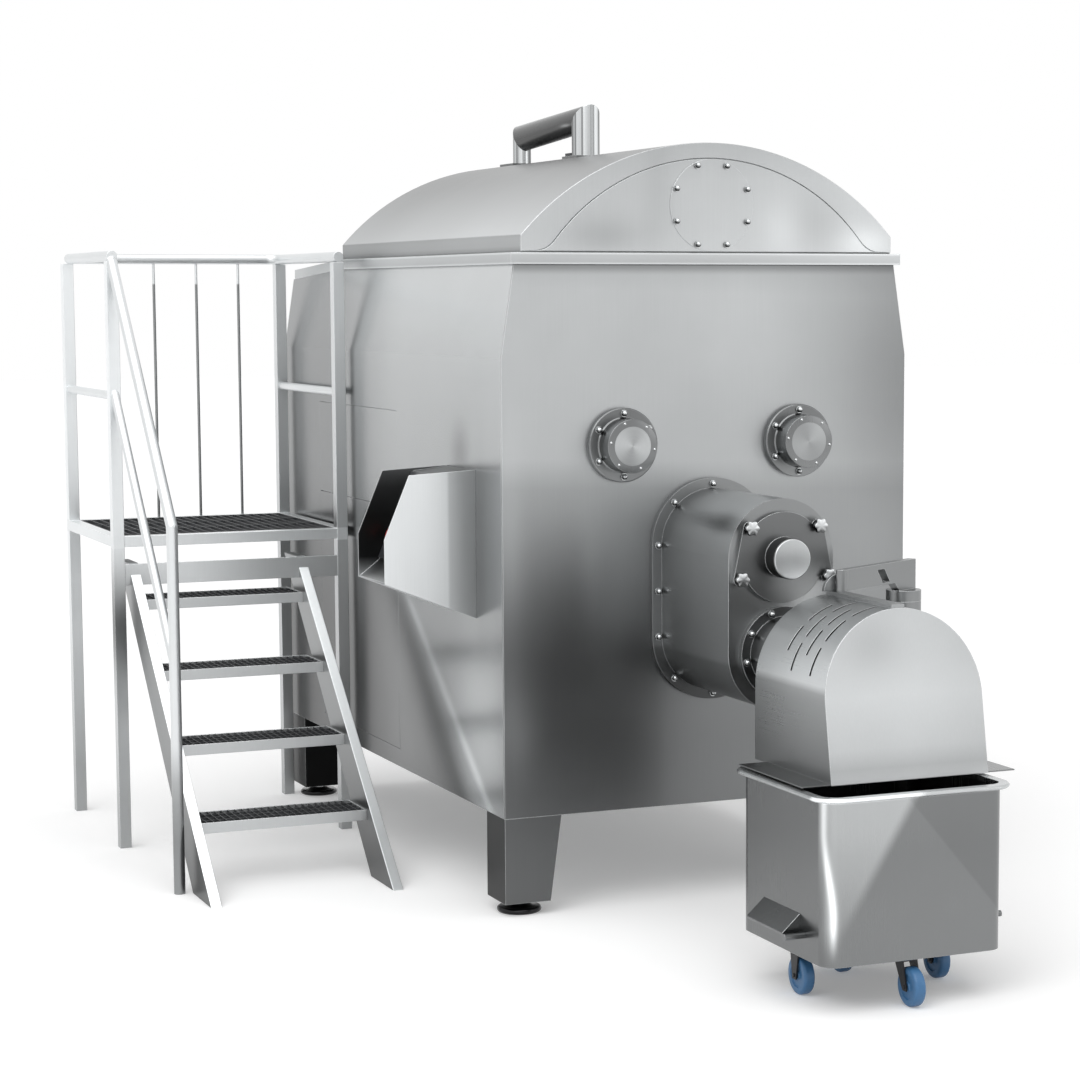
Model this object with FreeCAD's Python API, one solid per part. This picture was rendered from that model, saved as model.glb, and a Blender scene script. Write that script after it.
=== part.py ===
import FreeCAD, Part
import math
import os

V = FreeCAD.Vector

# Meat mixer grinder with an inspection platform and a product trolley, in millimetres.
# Working frame: X across the machine, Y from the front plate to the back, Z up from the floor.
# The front plate's outer face is at Y = 0 and the machine's middle plane is X = 0.
# All pieces are moved at the end so that the origin is the middle of the footprint.

# Casing
floor_gap = 355.0
knee_height = 1975.0
casing_top = 2302.0
casing_width = 1595.0
top_width = 1495.0
casing_length = 2680.0
front_plate_thickness = 12.0
sheet = 5.0
roof_drop = 36.0
roof_sheet = 4.0
floor_sheet = 6.0
bulkhead_thickness = 10.0
hopper_length = 2040.0
rim_height = 40.0
rim_overhang = 18.0
rim_back_width = 45.0
seam = 2.0
ledge_width = 18.0
panel_front = 1155.0
panel_back = 2175.0
panel_bottom = 425.0
panel_middle = 1375.0
panel_top = 1753.0

# Frame inside the casing, legs and feet
rail_size = 80.0
strut_width = 80.0
leg_width_top = 215.0
leg_width_bottom = 172.0
leg_depth = 184.0
leg_back_inset = 25.0
foot_radius = 80.0
foot_height = 30.0
foot_gap = 47.0
foot_chamfer = 9.0
stem_radius = 16.0

# Mixing trough and its two paddle shafts
rim_seat = 40.5
bowl_overlap = 13.0
throat_depth = 23.5
trough_sheet = 6.0
paddle_clearance = 22.0
mixing_shaft_radius = 45.0
paddle_count = 8
paddle_width = 130.0
paddle_thickness = 14.0
paddle_height = 70.0
arm_width = 50.0
arm_thickness = 24.0

# Worms below the trough
feed_worm_height = 1305.0
worm_spacing = 328.0
channel_radius = 165.0
feed_worm_radius = 148.0
main_worm_radius = 158.0
worm_core_radius = 55.0
worm_pitch = 260.0
flight_thickness = 14.0
flight_root_depth = 3.0
flight_steps = 14
feed_worm_turns = 8
main_worm_turns = 9
journal_radius = 40.0
worm_play = 3.0
worm_end_play = 6.0

# Bearings of the paddle shafts on the front plate
bearing_radius = 132.0
bearing_thickness = 25.0
bearing_bolt_circle = 112.0
bearing_bolt_across = 22.0
bearing_bolt_count = 6
cap_radius = 95.0
cap_length = 82.0
cap_end_wall = 45.0
bolt_head = 14.0

# Outlet housing, its cover and the neck
outlet_wall = 35.0
outlet_length = 575.0
outlet_flange_radius = 237.0
outlet_flange_thickness = 25.0
outlet_bolt_circle = 215.0
outlet_bolt_across = 20.0
cover_radius = 156.0
cover_thickness = 18.0
cover_ear_radius = 22.0
ear_spread_top = 130.0
ear_rise_top = 105.0
ear_spread_bottom = 166.0
ear_drop_bottom = 69.0
boss_radius = 70.0
boss_length = 68.0
boss_chamfer = 4.0
star_bolt_radius = 24.0
star_bolt_length = 30.0
star_bolt_points = 6
star_bolt_waist = 0.84
ring_radius = 160.0
ring_thickness = 22.0
ring_bolt_circle = 145.0
ring_bolt_count = 9
ring_bolt_across = 17.0
neck_radius = 127.0
neck_wall = 15.0
neck_end = 970.0

# Cutting set at the end of the neck
barrel_radius = 150.0
barrel_end = 1104.0
plate_radius = 125.0
plate_thickness = 20.0
plate_hole_radius = 9.0
plate_hole_rows = 4
plate_hole_start = 18.0
plate_hole_step = 22.5
knife_thickness = 16.0
knife_width = 34.0
knife_hub_radius = 45.0
knife_blades = 4
knife_tip_back = 0.55
knife_tip_front = 0.9
knife_tip_gap = 6.0
precutter_thickness = 14.0
precutter_hole_circle = 92.0
precutter_hole_radius = 27.0
precutter_hole_count = 6
knife_journal_radius = 18.0
nut_radius = 165.0
nut_length = 74.0
nut_lip_radius = 116.0
nut_lip_thickness = 20.0
nut_lug_count = 6
nut_lug_rise = 7.0
nut_lug_width = 28.0
nut_lug_root = 4.0
nut_lug_share = 0.6
nut_first_lug = 30.0

# Guard hood over the cutting set
hood_back = 945.0
hood_front = 1388.0
hood_half_width = 280.0
hood_rise = 240.0
hood_drop = 290.0
hood_lean = 92.0
hood_sheet = 4.0
flap_width = 100.0
flap_back = 1030.0
flap_front = 1475.0
slot_width = 11.0
slot_arc = 19.5
slot_step = 24.7
slot_rows = 4
slot_row_step = 65.0
slot_first_row = 1312.0
slot_first_angle = 155.5
slot_depth = 15.0
hood_bar_width = 45.0
hood_bar_height = 12.0
hood_bar_inset = 5.0

# Swing arm and hinge of the hood
hinge_x = 351.0
hinge_y = 800.0
hinge_barrel_radius = 60.0
hinge_pin_radius = 20.0
hinge_barrel_rise = 23.0
hinge_seam_rise = 186.0
arm_seat_rise = 223.0
arm_top_rise = 324.0
hinge_barrel_gap = 0.2
hinge_pin_cover = 10.0
hinge_pin_play = 2.0
hinge_bracket_inset = 20.0
arm_slot_length = 46.0
arm_slot_lean = 36.0
arm_slot_start = 150.0
arm_slot_rim = 8.0
arm_heel = 54.0
arm_root_low = 50.0
arm_root_high = 80.0
arm_tip_x = 10.0
arm_tip_y = 996.0
swing_arm_thickness = 30.0
arm_tip_radius = 20.0
clamp_disc_radius = 57.0
clamp_disc_thickness = 14.0
clamp_stud_radius = 14.0

# Lid
seal_height = 5.0
seal_width = 22.0
seal_inset = 3.0
lid_half_width = 727.0
lid_back = 2040.0
lid_front = 10.0
lid_skirt = 56.0
lid_crest = 2731.0
lid_sheet = 4.0
lid_seam_crest = 2677.0
lid_seam_radius = 770.0
lid_band_foot = 62.0
lid_band_thickness = 6.0
port_radius = 163.0
port_height = 2511.0
port_thickness = 10.0
port_bolt_circle = 150.0
port_bolt_count = 8
port_bolt_across = 14.0
port_bolt_head = 9.0
bow_radius = 50.0
bow_bend = 62.0
bow_front = 1187.0
bow_back = 1810.0
bow_front_height = 2892.0
bow_back_height = 2854.0
bow_foot_radius = 62.0
bow_foot_height = 10.0
bow_block_length = 60.0
bow_block_width = 46.0
bow_block_height = 26.0
lid_hinge_count = 3
lid_hinge_length = 160.0
lid_knuckle_radius = 13.0
lid_pin_radius = 7.0
lid_hinge_inset = 19.0
lid_leaf_sheet = 6.0
lid_leaf_height = 30.0

# Operating console on the left wall
console_front = 274.0
console_width = 306.0
console_reach_top = 248.0
console_reach = 343.0
console_top = 1575.0
console_slope = 13.0
console_chin = 1336.0
console_lip = 1178.0
console_bottom = 1040.0
console_sheet = 5.0
console_recess = 110.0
console_inset = 3.0
console_head = 41.0
console_foot = 60.0
panel_margin = 6.0
button_row = 0.72
switch_row = 0.30
console_panel_thickness = 8.0
screen_width = 150.0
screen_height = 100.0
screen_thickness = 6.0
screen_margin = 16.0
button_radius = 11.0
button_height = 14.0
button_travel = 3.5
button_pitch = 40.0
estop_radius = 20.0
estop_height = 22.0
estop_stem_radius = 9.0
estop_neck_share = 0.45
switch_radius = 14.0
switch_height = 16.0
switch_grip_width = 8.0
switch_grip_share = 0.9

# Drives behind the bulkhead
gear_unit_width = 300.0
gear_unit_length = 260.0
gear_unit_height = 420.0
shaft_end_gap = 5.0
stand_overhang_side = 40.0
stand_overhang_back = 60.0
motor_setback = 20.0
motor_radius = 150.0
motor_length = 430.0
mixer_gear_width = 260.0
mixer_gear_length = 230.0
mixer_motor_radius = 95.0
mixer_motor_length = 250.0

# Inspection platform and stairs
platform_left = -1757.0
platform_right = -838.0
platform_depth = 845.0
platform_back_inset = 69.0
deck_height = 1250.0
post_size = 45.0
deck_beam_height = 42.0
rail_height = 1100.0
mid_rail_height = 555.0
rail_tube_radius = 21.0
rail_bend_radius = 60.0
mid_rail_radius = 17.0
bar_radius = 6.0
bar_count = 4
grating_height = 28.0
grating_bar = 4.0
grating_bars = 23
grating_cross_bars = 4
grating_ledge_height = 6.0
grating_ledge_width = 20.0
stair_left = -1704.0
stair_right = -992.0
stair_plate = 8.0
step_count = 4
step_going = 270.0
step_depth = 225.0
step_height = 40.0
step_sheet = 6.0
step_bars = 16
top_step_setback = 46.0
stringer_run = 1191.0
stringer_foot_width = 480.0
stringer_top_lead = 24.0
stringer_top_width = 170.0
cross_beam_height = 84.0
cross_beam_top = 1140.0
cross_beam_thickness = 8.0
handrail_run = 905.0
handrail_bend_height = 1360.0
handrail_drop = 30.0

# Product trolley
trolley_x = -62.0
trolley_y = -1335.0
bin_width = 630.0
bin_depth = 600.0
bin_bottom = 155.0
bin_gap = 5.0
bin_sheet = 4.0
bin_corner = 55.0
bin_rim_width = 30.0
bin_rim_height = 14.0
bin_rim_chamfer = 5.0
wheel_radius = 62.5
wheel_width = 38.0
wheel_chamfer = 7.0
hub_radius = 40.0
hub_recess = 5.0
axle_radius = 6.0
axle_end = 4.0
bracket_length = 80.0
side_wheel_offset = 245.0
castor_offset = 232.0
castor_trail = 38.0
fork_gap = 3.0
fork_thickness = 5.0
castor_head_radius = 40.0
castor_head_height = 16.0
castor_plate_reach = 48.0
bracket_reach = 26.0
lug_length = 250.0
lug_reach = 62.0
lug_height = 62.0
lug_sheet = 6.0
lug_root = 8.4
lug_centre_height = 262.0
lug_pin_radius = 10.0
lug_pin_length = 72.0

# Clearances
running_gap = 0.08
curved_gap = 0.3
knife_gap = 0.5

# Values that follow from the sizes above
half_width = casing_width / 2
half_top = top_width / 2
rim_top = casing_top + rim_height
seal_top = rim_top + seal_height
# two bowls that cross each other a little fill the width inside the rim
trough_side = half_top - rim_seat
shaft_x = (trough_side - bowl_overlap) / 2
trough_radius = shaft_x + bowl_overlap
paddle_reach = trough_radius - paddle_clearance
# the bowls open into the channel of the worms, which fixes the shafts' height in whole millimetres
throat = trough_radius + channel_radius - throat_depth
shaft_height = feed_worm_height + round(math.sqrt(throat ** 2 - shaft_x ** 2))
main_worm_height = feed_worm_height - worm_spacing
channel_outer = channel_radius + trough_sheet
outlet_radius = channel_radius + outlet_wall
hood_crest = main_worm_height + hood_rise
hood_bottom = main_worm_height - hood_drop
hinge_barrel_bottom = main_worm_height + hinge_barrel_rise
hinge_seam = main_worm_height + hinge_seam_rise
arm_seat = main_worm_height + arm_seat_rise
arm_top = main_worm_height + arm_top_rise
bin_top = hood_bottom - bin_gap
neck_bore = neck_radius - neck_wall
cutting_set_length = plate_thickness + knife_thickness + precutter_thickness + 2 * knife_gap
platform_back = casing_length - platform_back_inset
platform_front = platform_back - platform_depth
stringer_foot_front = platform_front - stringer_run
stringer_top_front = platform_front + stringer_top_lead
handrail_foot = platform_front - handrail_run
bulkhead_front = hopper_length - bulkhead_thickness

nodes = {}


def add(name, *shapes):
    for shape in shapes:
        nodes.setdefault(name, []).extend(shape.Solids)


def box(x0, x1, y0, y1, z0, z1):
    return Part.makeBox(x1 - x0, y1 - y0, z1 - z0, V(x0, y0, z0))


def rod_x(y, z, radius, x0, x1):
    return Part.makeCylinder(radius, x1 - x0, V(x0, y, z), V(1, 0, 0))


def rod_y(x, z, radius, y0, y1):
    return Part.makeCylinder(radius, y1 - y0, V(x, y0, z), V(0, 1, 0))


def rod_z(x, y, radius, z0, z1):
    return Part.makeCylinder(radius, z1 - z0, V(x, y, z0), V(0, 0, 1))


def tube_y(x, z, outer, inner, y0, y1):
    return rod_y(x, z, outer, y0, y1).cut(rod_y(x, z, inner, y0, y1))


def rod_between(start, end, radius):
    return Part.makeCylinder(radius, (end - start).Length, start, end - start)


def polygon(points):
    return Part.Face(Part.makePolygon(points + points[:1]))


def plate_x(outline, x0, x1):
    return polygon([V(x0, y, z) for y, z in outline]).extrude(V(x1 - x0, 0, 0))


def plate_y(outline, y0, y1):
    return polygon([V(x, y0, z) for x, z in outline]).extrude(V(0, y1 - y0, 0))


def plate_z(outline, z0, z1):
    return polygon([V(x, y, z0) for x, y in outline]).extrude(V(0, 0, z1 - z0))


def hexagon_y(x, z, across, y0, y1):
    # a hexagon head or nut, across its flats, with its axis along Y
    corner = across / math.sqrt(3)
    angles = [math.radians(60 * k) for k in range(6)]
    return plate_y([(x + corner * math.cos(a), z + corner * math.sin(a)) for a in angles], y0, y1)


def on_circle(x, z, radius, count, first_angle):
    angles = [math.radians(first_angle + 360.0 * k / count) for k in range(count)]
    return [(x + radius * math.cos(a), z + radius * math.sin(a)) for a in angles]


def obround_y(x, z_low, z_high, radius, y0, y1):
    # two half rounds joined by straight sides, standing upright
    ends = rod_y(x, z_low, radius, y0, y1).fuse(rod_y(x, z_high, radius, y0, y1))
    return ends.fuse(box(x - radius, x + radius, y0, y1, z_low, z_high)).removeSplitter()


def round_corner(start, tip, end):
    # the arc that meets both straights of a corner, whose tip is equally far from both ends
    middle = (start + end) * 0.5
    half_angle = math.asin((end - start).Length / 2 / (tip - start).Length)
    along = (tip - middle).normalize()
    reach = (tip - start).Length
    rise = reach * (math.cos(half_angle) - 1 / math.cos(half_angle) + math.tan(half_angle))
    return Part.Arc(start, middle + along * rise, end).toShape()


def mirrored(shape):
    return shape.mirror(V(0, 0, 0), V(1, 0, 0))


# Casing

def casing_outline(inset):
    # the casing's cross-section: upright to the knee, then leaning in to the rim
    side, top = half_width - inset, half_top - inset
    return [(-side, floor_gap), (side, floor_gap), (side, knee_height),
            (top, casing_top), (-top, casing_top), (-side, knee_height)]


def wall_strip():
    # the left wall's cross-section, a bent sheet of even thickness
    side, top = half_width, half_top
    return [(-side, floor_gap), (-side, knee_height), (-top, casing_top),
            (-top + sheet, casing_top), (-side + sheet, knee_height), (-side + sheet, floor_gap)]


def make_front_plate():
    plate = plate_y(casing_outline(0), 0, front_plate_thickness)
    for x in (-shaft_x, shaft_x):
        plate = plate.cut(rod_y(x, shaft_height, cap_radius, 0, front_plate_thickness))
    channel = obround_y(0, main_worm_height, feed_worm_height, channel_radius, 0, front_plate_thickness)
    add("front_plate", plate.cut(channel))


def make_walls():
    # the wall's upper edge falls towards the back under the drive compartment's roof
    wall = plate_y(wall_strip(), front_plate_thickness, casing_length - sheet)
    above_roof = [(hopper_length, casing_top), (casing_length, casing_top - roof_drop),
                  (casing_length, casing_top)]
    left = wall.cut(plate_x(above_roof, -casing_width, 0))
    add("right_wall", mirrored(left))
    # ledges behind the panels' edges stop at the bulkhead; the floor's side rail backs the lowest edge
    inner = -half_width + sheet
    strip = ledge_width / 2
    rail_top = floor_gap + floor_sheet + rail_size
    ledges = []
    for z in (panel_middle, panel_top):
        for y0, y1 in ((panel_front - strip, bulkhead_front), (hopper_length, panel_back + strip)):
            ledges.append(box(inner, inner + sheet, y0, y1, z - strip, z + strip))
    for y in (panel_front, panel_back):
        ledges.append(box(inner, inner + sheet, y - strip, y + strip, rail_top, panel_top))
    for low, high in ((panel_bottom, panel_middle), (panel_middle, panel_top)):
        left = left.cut(box(-half_width, inner, panel_front, panel_back, low, high))
        add("service_panels", box(-half_width, inner, panel_front + seam, panel_back - seam,
                                  low + seam, high - seam))
    add("left_wall", left.fuse(ledges))


def make_back():
    back_top = casing_top - roof_drop
    side = half_width
    share = (casing_top - back_top) / (casing_top - knee_height)
    top = half_top + (half_width - half_top) * share
    outline = [(-side, floor_gap), (side, floor_gap), (side, knee_height), (top, back_top),
               (-top, back_top), (-side, knee_height)]
    wall = plate_y(outline, casing_length - sheet, casing_length)
    roof_start = hopper_length + rim_back_width
    start_drop = roof_drop * rim_back_width / (casing_length - hopper_length)
    roof = [(roof_start, rim_top - start_drop), (casing_length, rim_top - roof_drop),
            (casing_length, back_top), (roof_start, casing_top - start_drop)]
    inside = [(roof_start, rim_top - start_drop - roof_sheet),
              (casing_length - roof_sheet, rim_top - roof_drop - roof_sheet),
              (casing_length - roof_sheet, back_top), (roof_start, casing_top - start_drop)]
    cover = plate_x(roof, -half_top, half_top)
    cover = cover.cut(plate_x(inside, -half_top + roof_sheet, half_top - roof_sheet))
    add("rear_cover", wall.fuse(cover))


def make_floor():
    inner = half_width - sheet
    add("base_frame", box(-inner, inner, front_plate_thickness, casing_length - sheet,
                          floor_gap, floor_gap + floor_sheet))
    low = floor_gap + floor_sheet
    high = low + rail_size
    back = casing_length - sheet
    for x in (-inner, inner - rail_size):
        add("base_frame", box(x, x + rail_size, front_plate_thickness, back, low, high))
    for y in (front_plate_thickness, bulkhead_front - rail_size, back - rail_size):
        add("base_frame", box(-inner + rail_size, inner - rail_size, y, y + rail_size, low, high))


def make_bulkhead():
    outline = casing_outline(sheet)
    plate = plate_y(outline, bulkhead_front, hopper_length)
    low = floor_gap + floor_sheet + rail_size
    plate = plate.cut(box(-half_width, half_width, bulkhead_front, hopper_length, 0, low))
    for x, z in ((-shaft_x, shaft_height), (shaft_x, shaft_height),
                 (0, feed_worm_height), (0, main_worm_height)):
        radius = mixing_shaft_radius if x else journal_radius
        plate = plate.cut(rod_y(x, z, radius + curved_gap, bulkhead_front, hopper_length))
    add("bulkhead", plate)


def make_rim():
    outer = half_top + rim_overhang
    front = -rim_overhang
    back = hopper_length + rim_back_width
    z0, z1 = casing_top, rim_top
    add("hopper_rim",
        box(-outer, outer, front, front_plate_thickness, z0, z1),
        box(-outer, outer, bulkhead_front, back, z0, z1),
        box(-outer, -trough_side, front_plate_thickness, bulkhead_front, z0, z1),
        box(trough_side, outer, front_plate_thickness, bulkhead_front, z0, z1))


# Mixing trough: two round-bottomed halves over an upright worm channel

def make_trough():
    y0, y1 = front_plate_thickness, bulkhead_front
    outer_radius = trough_radius + trough_sheet
    channel_hollow = obround_y(0, main_worm_height, feed_worm_height, channel_radius, y0, y1)
    channel_body = obround_y(0, main_worm_height, feed_worm_height, channel_outer, y0, y1)
    bowls = [rod_y(x, shaft_height, trough_radius, y0, y1) for x in (-shaft_x, shaft_x)]
    hollow = bowls[0].fuse(bowls[1])
    hollow = hollow.fuse(box(-trough_side, trough_side, y0, y1, shaft_height, casing_top))
    side = trough_side + trough_sheet
    body = rod_y(-shaft_x, shaft_height, outer_radius, y0, y1)
    body = body.fuse(rod_y(shaft_x, shaft_height, outer_radius, y0, y1))
    body = body.fuse(box(-side, side, y0, y1, shaft_height, casing_top))
    bowl_skin = body.cut(hollow).cut(channel_body)
    channel_skin = channel_body.cut(channel_hollow).cut(hollow)
    saddle = []
    for solid in bowl_skin.Solids:
        if abs(solid.CenterOfMass.x) < channel_radius / 2:
            saddle.append(solid)
        else:
            add("mixing_trough", solid)
    for solid in channel_skin.Solids:
        if solid.CenterOfMass.z > feed_worm_height:
            saddle.append(solid)
        else:
            add("worm_channel", solid)
    add("mixing_trough", saddle[0].fuse(saddle[1:]))


def make_cradle():
    # a cross rail with three struts under the bowls and the channel carries the middle of the trough
    inner = half_width - sheet - rail_size
    y = (front_plate_thickness + bulkhead_front - rail_size) / 2
    back = y + rail_size
    low = floor_gap + floor_sheet
    top = low + rail_size
    add("base_frame", box(-inner, inner, y, back, low, top))
    for x, z, radius in ((-shaft_x, shaft_height, trough_radius + trough_sheet),
                         (0, main_worm_height, channel_outer),
                         (shaft_x, shaft_height, trough_radius + trough_sheet)):
        strut = box(x - strut_width / 2, x + strut_width / 2, y, back, top, z)
        add("base_frame", strut.cut(rod_y(x, z, radius, y, back)))


# Paddle shafts

def make_paddle_shaft(name, x, first_angle):
    end = front_plate_thickness
    shaft = rod_y(x, shaft_height, mixing_shaft_radius, -cap_length / 2,
                  hopper_length + mixer_gear_length / 2)
    pitch = (bulkhead_front - end) / paddle_count
    solids = shaft
    for k in range(paddle_count):
        y = end + pitch * (k + 0.5)
        arm = box(x - arm_width / 2, x + arm_width / 2, y - arm_thickness / 2, y + arm_thickness / 2,
                  shaft_height, shaft_height + paddle_reach - paddle_height / 2)
        tip = shaft_height + paddle_reach
        y0, y1 = y - paddle_width / 2, y + paddle_width / 2
        blade = tube_y(x, shaft_height, paddle_reach, paddle_reach - paddle_thickness, y0, y1)
        window = box(x - paddle_height / 2, x + paddle_height / 2, y0, y1, shaft_height, tip)
        web = box(x - arm_thickness / 4, x + arm_thickness / 4, y0, y1,
                  tip - paddle_height, tip - paddle_thickness)
        piece = arm.fuse([blade.common(window), web])
        piece.rotate(V(x, 0, shaft_height), V(0, 1, 0), first_angle + 90.0 * k)
        solids = solids.fuse(piece)
    add(name, solids)


# Worms

def worm_flight(z, radius, y_start, turns):
    # a screw flight of even thickness as a ruled band between two helices
    total = int(turns * flight_steps)
    half = flight_thickness / 2
    root = worm_core_radius - flight_root_depth

    def edge_points(reach, shift):
        points = []
        for k in range(total + 1):
            angle = 2 * math.pi * k / flight_steps
            along = y_start - worm_pitch * k / flight_steps + shift
            points.append(V(reach * math.cos(angle), along, z + reach * math.sin(angle)))
        return points

    rims = [edge_points(root, half), edge_points(radius, half),
            edge_points(radius, -half), edge_points(root, -half)]
    faces = []
    for a, b in ((0, 1), (1, 2), (2, 3), (3, 0)):
        for k in range(total):
            p, q, r, s = rims[a][k], rims[a][k + 1], rims[b][k + 1], rims[b][k]
            faces.append(polygon([p, q, r]))
            faces.append(polygon([p, r, s]))
    faces.append(polygon([rim[0] for rim in rims]))
    faces.append(polygon([rim[-1] for rim in rims]))
    solid = Part.makeSolid(Part.makeShell(faces))
    if solid.Volume < 0:
        solid.reverse()
    return solid


def make_feed_worm():
    y1 = bulkhead_front
    z = feed_worm_height
    core = rod_y(0, z, worm_core_radius, -outlet_length + seam, y1 - curved_gap)
    journal = rod_y(0, z, journal_radius, y1 - curved_gap, hopper_length + gear_unit_length / 2)
    flight = worm_flight(z, feed_worm_radius, y1 - flight_thickness, feed_worm_turns)
    add("feed_worm", core.fuse([journal, flight]))


def make_main_worm():
    y1 = bulkhead_front
    z = main_worm_height
    set_end = -barrel_end + cutting_set_length
    core_end = set_end + worm_end_play
    core = rod_y(0, z, worm_core_radius, core_end, y1 - curved_gap)
    journal = rod_y(0, z, journal_radius, y1 - curved_gap, hopper_length + gear_unit_length / 2)
    spigot = rod_y(0, z, knife_journal_radius, -barrel_end + plate_thickness / 2,
                   core_end + flight_root_depth)
    wide = worm_flight(z, main_worm_radius, y1 - flight_thickness, main_worm_turns)
    narrow_start = y1 - worm_pitch * main_worm_turns - 4 * flight_thickness
    narrow_turns = (narrow_start - set_end - flight_thickness) / worm_pitch
    narrow = worm_flight(z, neck_bore - worm_play, narrow_start, narrow_turns)
    add("main_worm", core.fuse([journal, spigot, wide, narrow]))


# Bearings on the front plate

def make_bearings():
    for x in (-shaft_x, shaft_x):
        end = -bearing_thickness - cap_length
        body = rod_y(x, shaft_height, bearing_radius, -bearing_thickness, 0)
        spigot = rod_y(x, shaft_height, cap_radius - curved_gap, 0, front_plate_thickness)
        cap = rod_y(x, shaft_height, cap_radius, end, -bearing_thickness)
        bore = rod_y(x, shaft_height, mixing_shaft_radius + running_gap, end + cap_end_wall,
                     front_plate_thickness)
        add("shaft_bearings", body.fuse([spigot, cap]).cut(bore))
        for bx, bz in on_circle(x, shaft_height, bearing_bolt_circle, bearing_bolt_count, 90):
            add("front_bolts", hexagon_y(bx, bz, bearing_bolt_across, -bearing_thickness - bolt_head,
                                         -bearing_thickness))


# Outlet housing

def make_outlet():
    low, high = main_worm_height, feed_worm_height
    body = obround_y(0, low, high, outlet_radius, -outlet_length, 0)
    flange = obround_y(0, low, high, outlet_flange_radius, -outlet_flange_thickness, 0)
    hollow = obround_y(0, low, high, channel_radius, -outlet_length + outlet_wall, 0)
    neck_port = rod_y(0, low, neck_bore, -outlet_length, -outlet_length + outlet_wall)
    worm_seat = rod_y(0, high, worm_core_radius + running_gap, -outlet_length, 0)
    add("outlet_housing", body.fuse(flange).cut(hollow).cut(neck_port).cut(worm_seat))

    bolts = []
    for angle in (0, 45, 90, 135, 180):
        a = math.radians(angle)
        bolts.append((outlet_bolt_circle * math.cos(a), high + outlet_bolt_circle * math.sin(a)))
        bolts.append((outlet_bolt_circle * math.cos(a), low - outlet_bolt_circle * math.sin(a)))
    middle = (low + high) / 2
    bolts += [(-outlet_bolt_circle, middle), (outlet_bolt_circle, middle)]
    for x, z in bolts:
        add("front_bolts", hexagon_y(x, z, outlet_bolt_across, -outlet_flange_thickness - bolt_head,
                                     -outlet_flange_thickness))


def make_cover():
    # the cover of the feed worm's end: a disc with four ears and a round boss
    z = feed_worm_height
    face = -outlet_length
    ears = [(-ear_spread_top, ear_rise_top), (ear_spread_top, ear_rise_top),
            (ear_spread_bottom, -ear_drop_bottom), (-ear_spread_bottom, -ear_drop_bottom)]
    outer = face - cover_thickness
    plate = rod_y(0, z, cover_radius, outer, face)
    plate = plate.fuse(plate_y([(x, z + rise) for x, rise in ears], outer, face))
    for (xa, ra), (xb, rb) in zip(ears, ears[1:] + ears[:1]):
        if xa * xb > 0:
            dx, dz = xb - xa, rb - ra
            length = math.hypot(dx, dz)
            nx, nz = cover_ear_radius * dz / length, -cover_ear_radius * dx / length
            if nx * xa < 0:
                nx, nz = -nx, -nz
            strip = [(xa, z + ra), (xb, z + rb), (xb + nx, z + rb + nz), (xa + nx, z + ra + nz)]
            plate = plate.fuse(plate_y(strip, outer, face))
    for x, rise in ears:
        plate = plate.fuse(rod_y(x, z + rise, cover_ear_radius, outer, face))
    boss = rod_y(0, z, boss_radius, outer - boss_length, outer)
    boss = boss.makeChamfer(boss_chamfer, [e for e in boss.Edges if e.BoundBox.YMax < outer - 1])
    add("outlet_cover", plate.fuse(boss).removeSplitter())
    for x, rise in ears:
        head = []
        for k in range(2 * star_bolt_points):
            a = math.pi * k / star_bolt_points
            reach = star_bolt_radius * (1.0 if k % 2 == 0 else star_bolt_waist)
            head.append((x + reach * math.cos(a), z + rise + reach * math.sin(a)))
        add("cover_star_bolts", plate_y(head, outer - star_bolt_length, outer))


def make_neck():
    z = main_worm_height
    face = -outlet_length
    ring_face = face - ring_thickness
    ring = tube_y(0, z, ring_radius, neck_bore, ring_face, face)
    neck = tube_y(0, z, neck_radius, neck_bore, -neck_end, ring_face)
    barrel = rod_y(0, z, barrel_radius, -barrel_end, -neck_end)
    seat_end = -barrel_end + cutting_set_length
    barrel = barrel.cut(rod_y(0, z, plate_radius + running_gap, -barrel_end, seat_end))
    barrel = barrel.cut(rod_y(0, z, neck_bore, -barrel_end, -neck_end))
    add("outlet_neck", ring.fuse(neck).fuse(barrel))
    for x, bz in on_circle(0, z, ring_bolt_circle, ring_bolt_count, 90 + 180.0 / ring_bolt_count):
        add("front_bolts", hexagon_y(x, bz, ring_bolt_across, ring_face - bolt_head, ring_face))


# Cutting set: pre-cutter, knife, hole plate and ring nut

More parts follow.
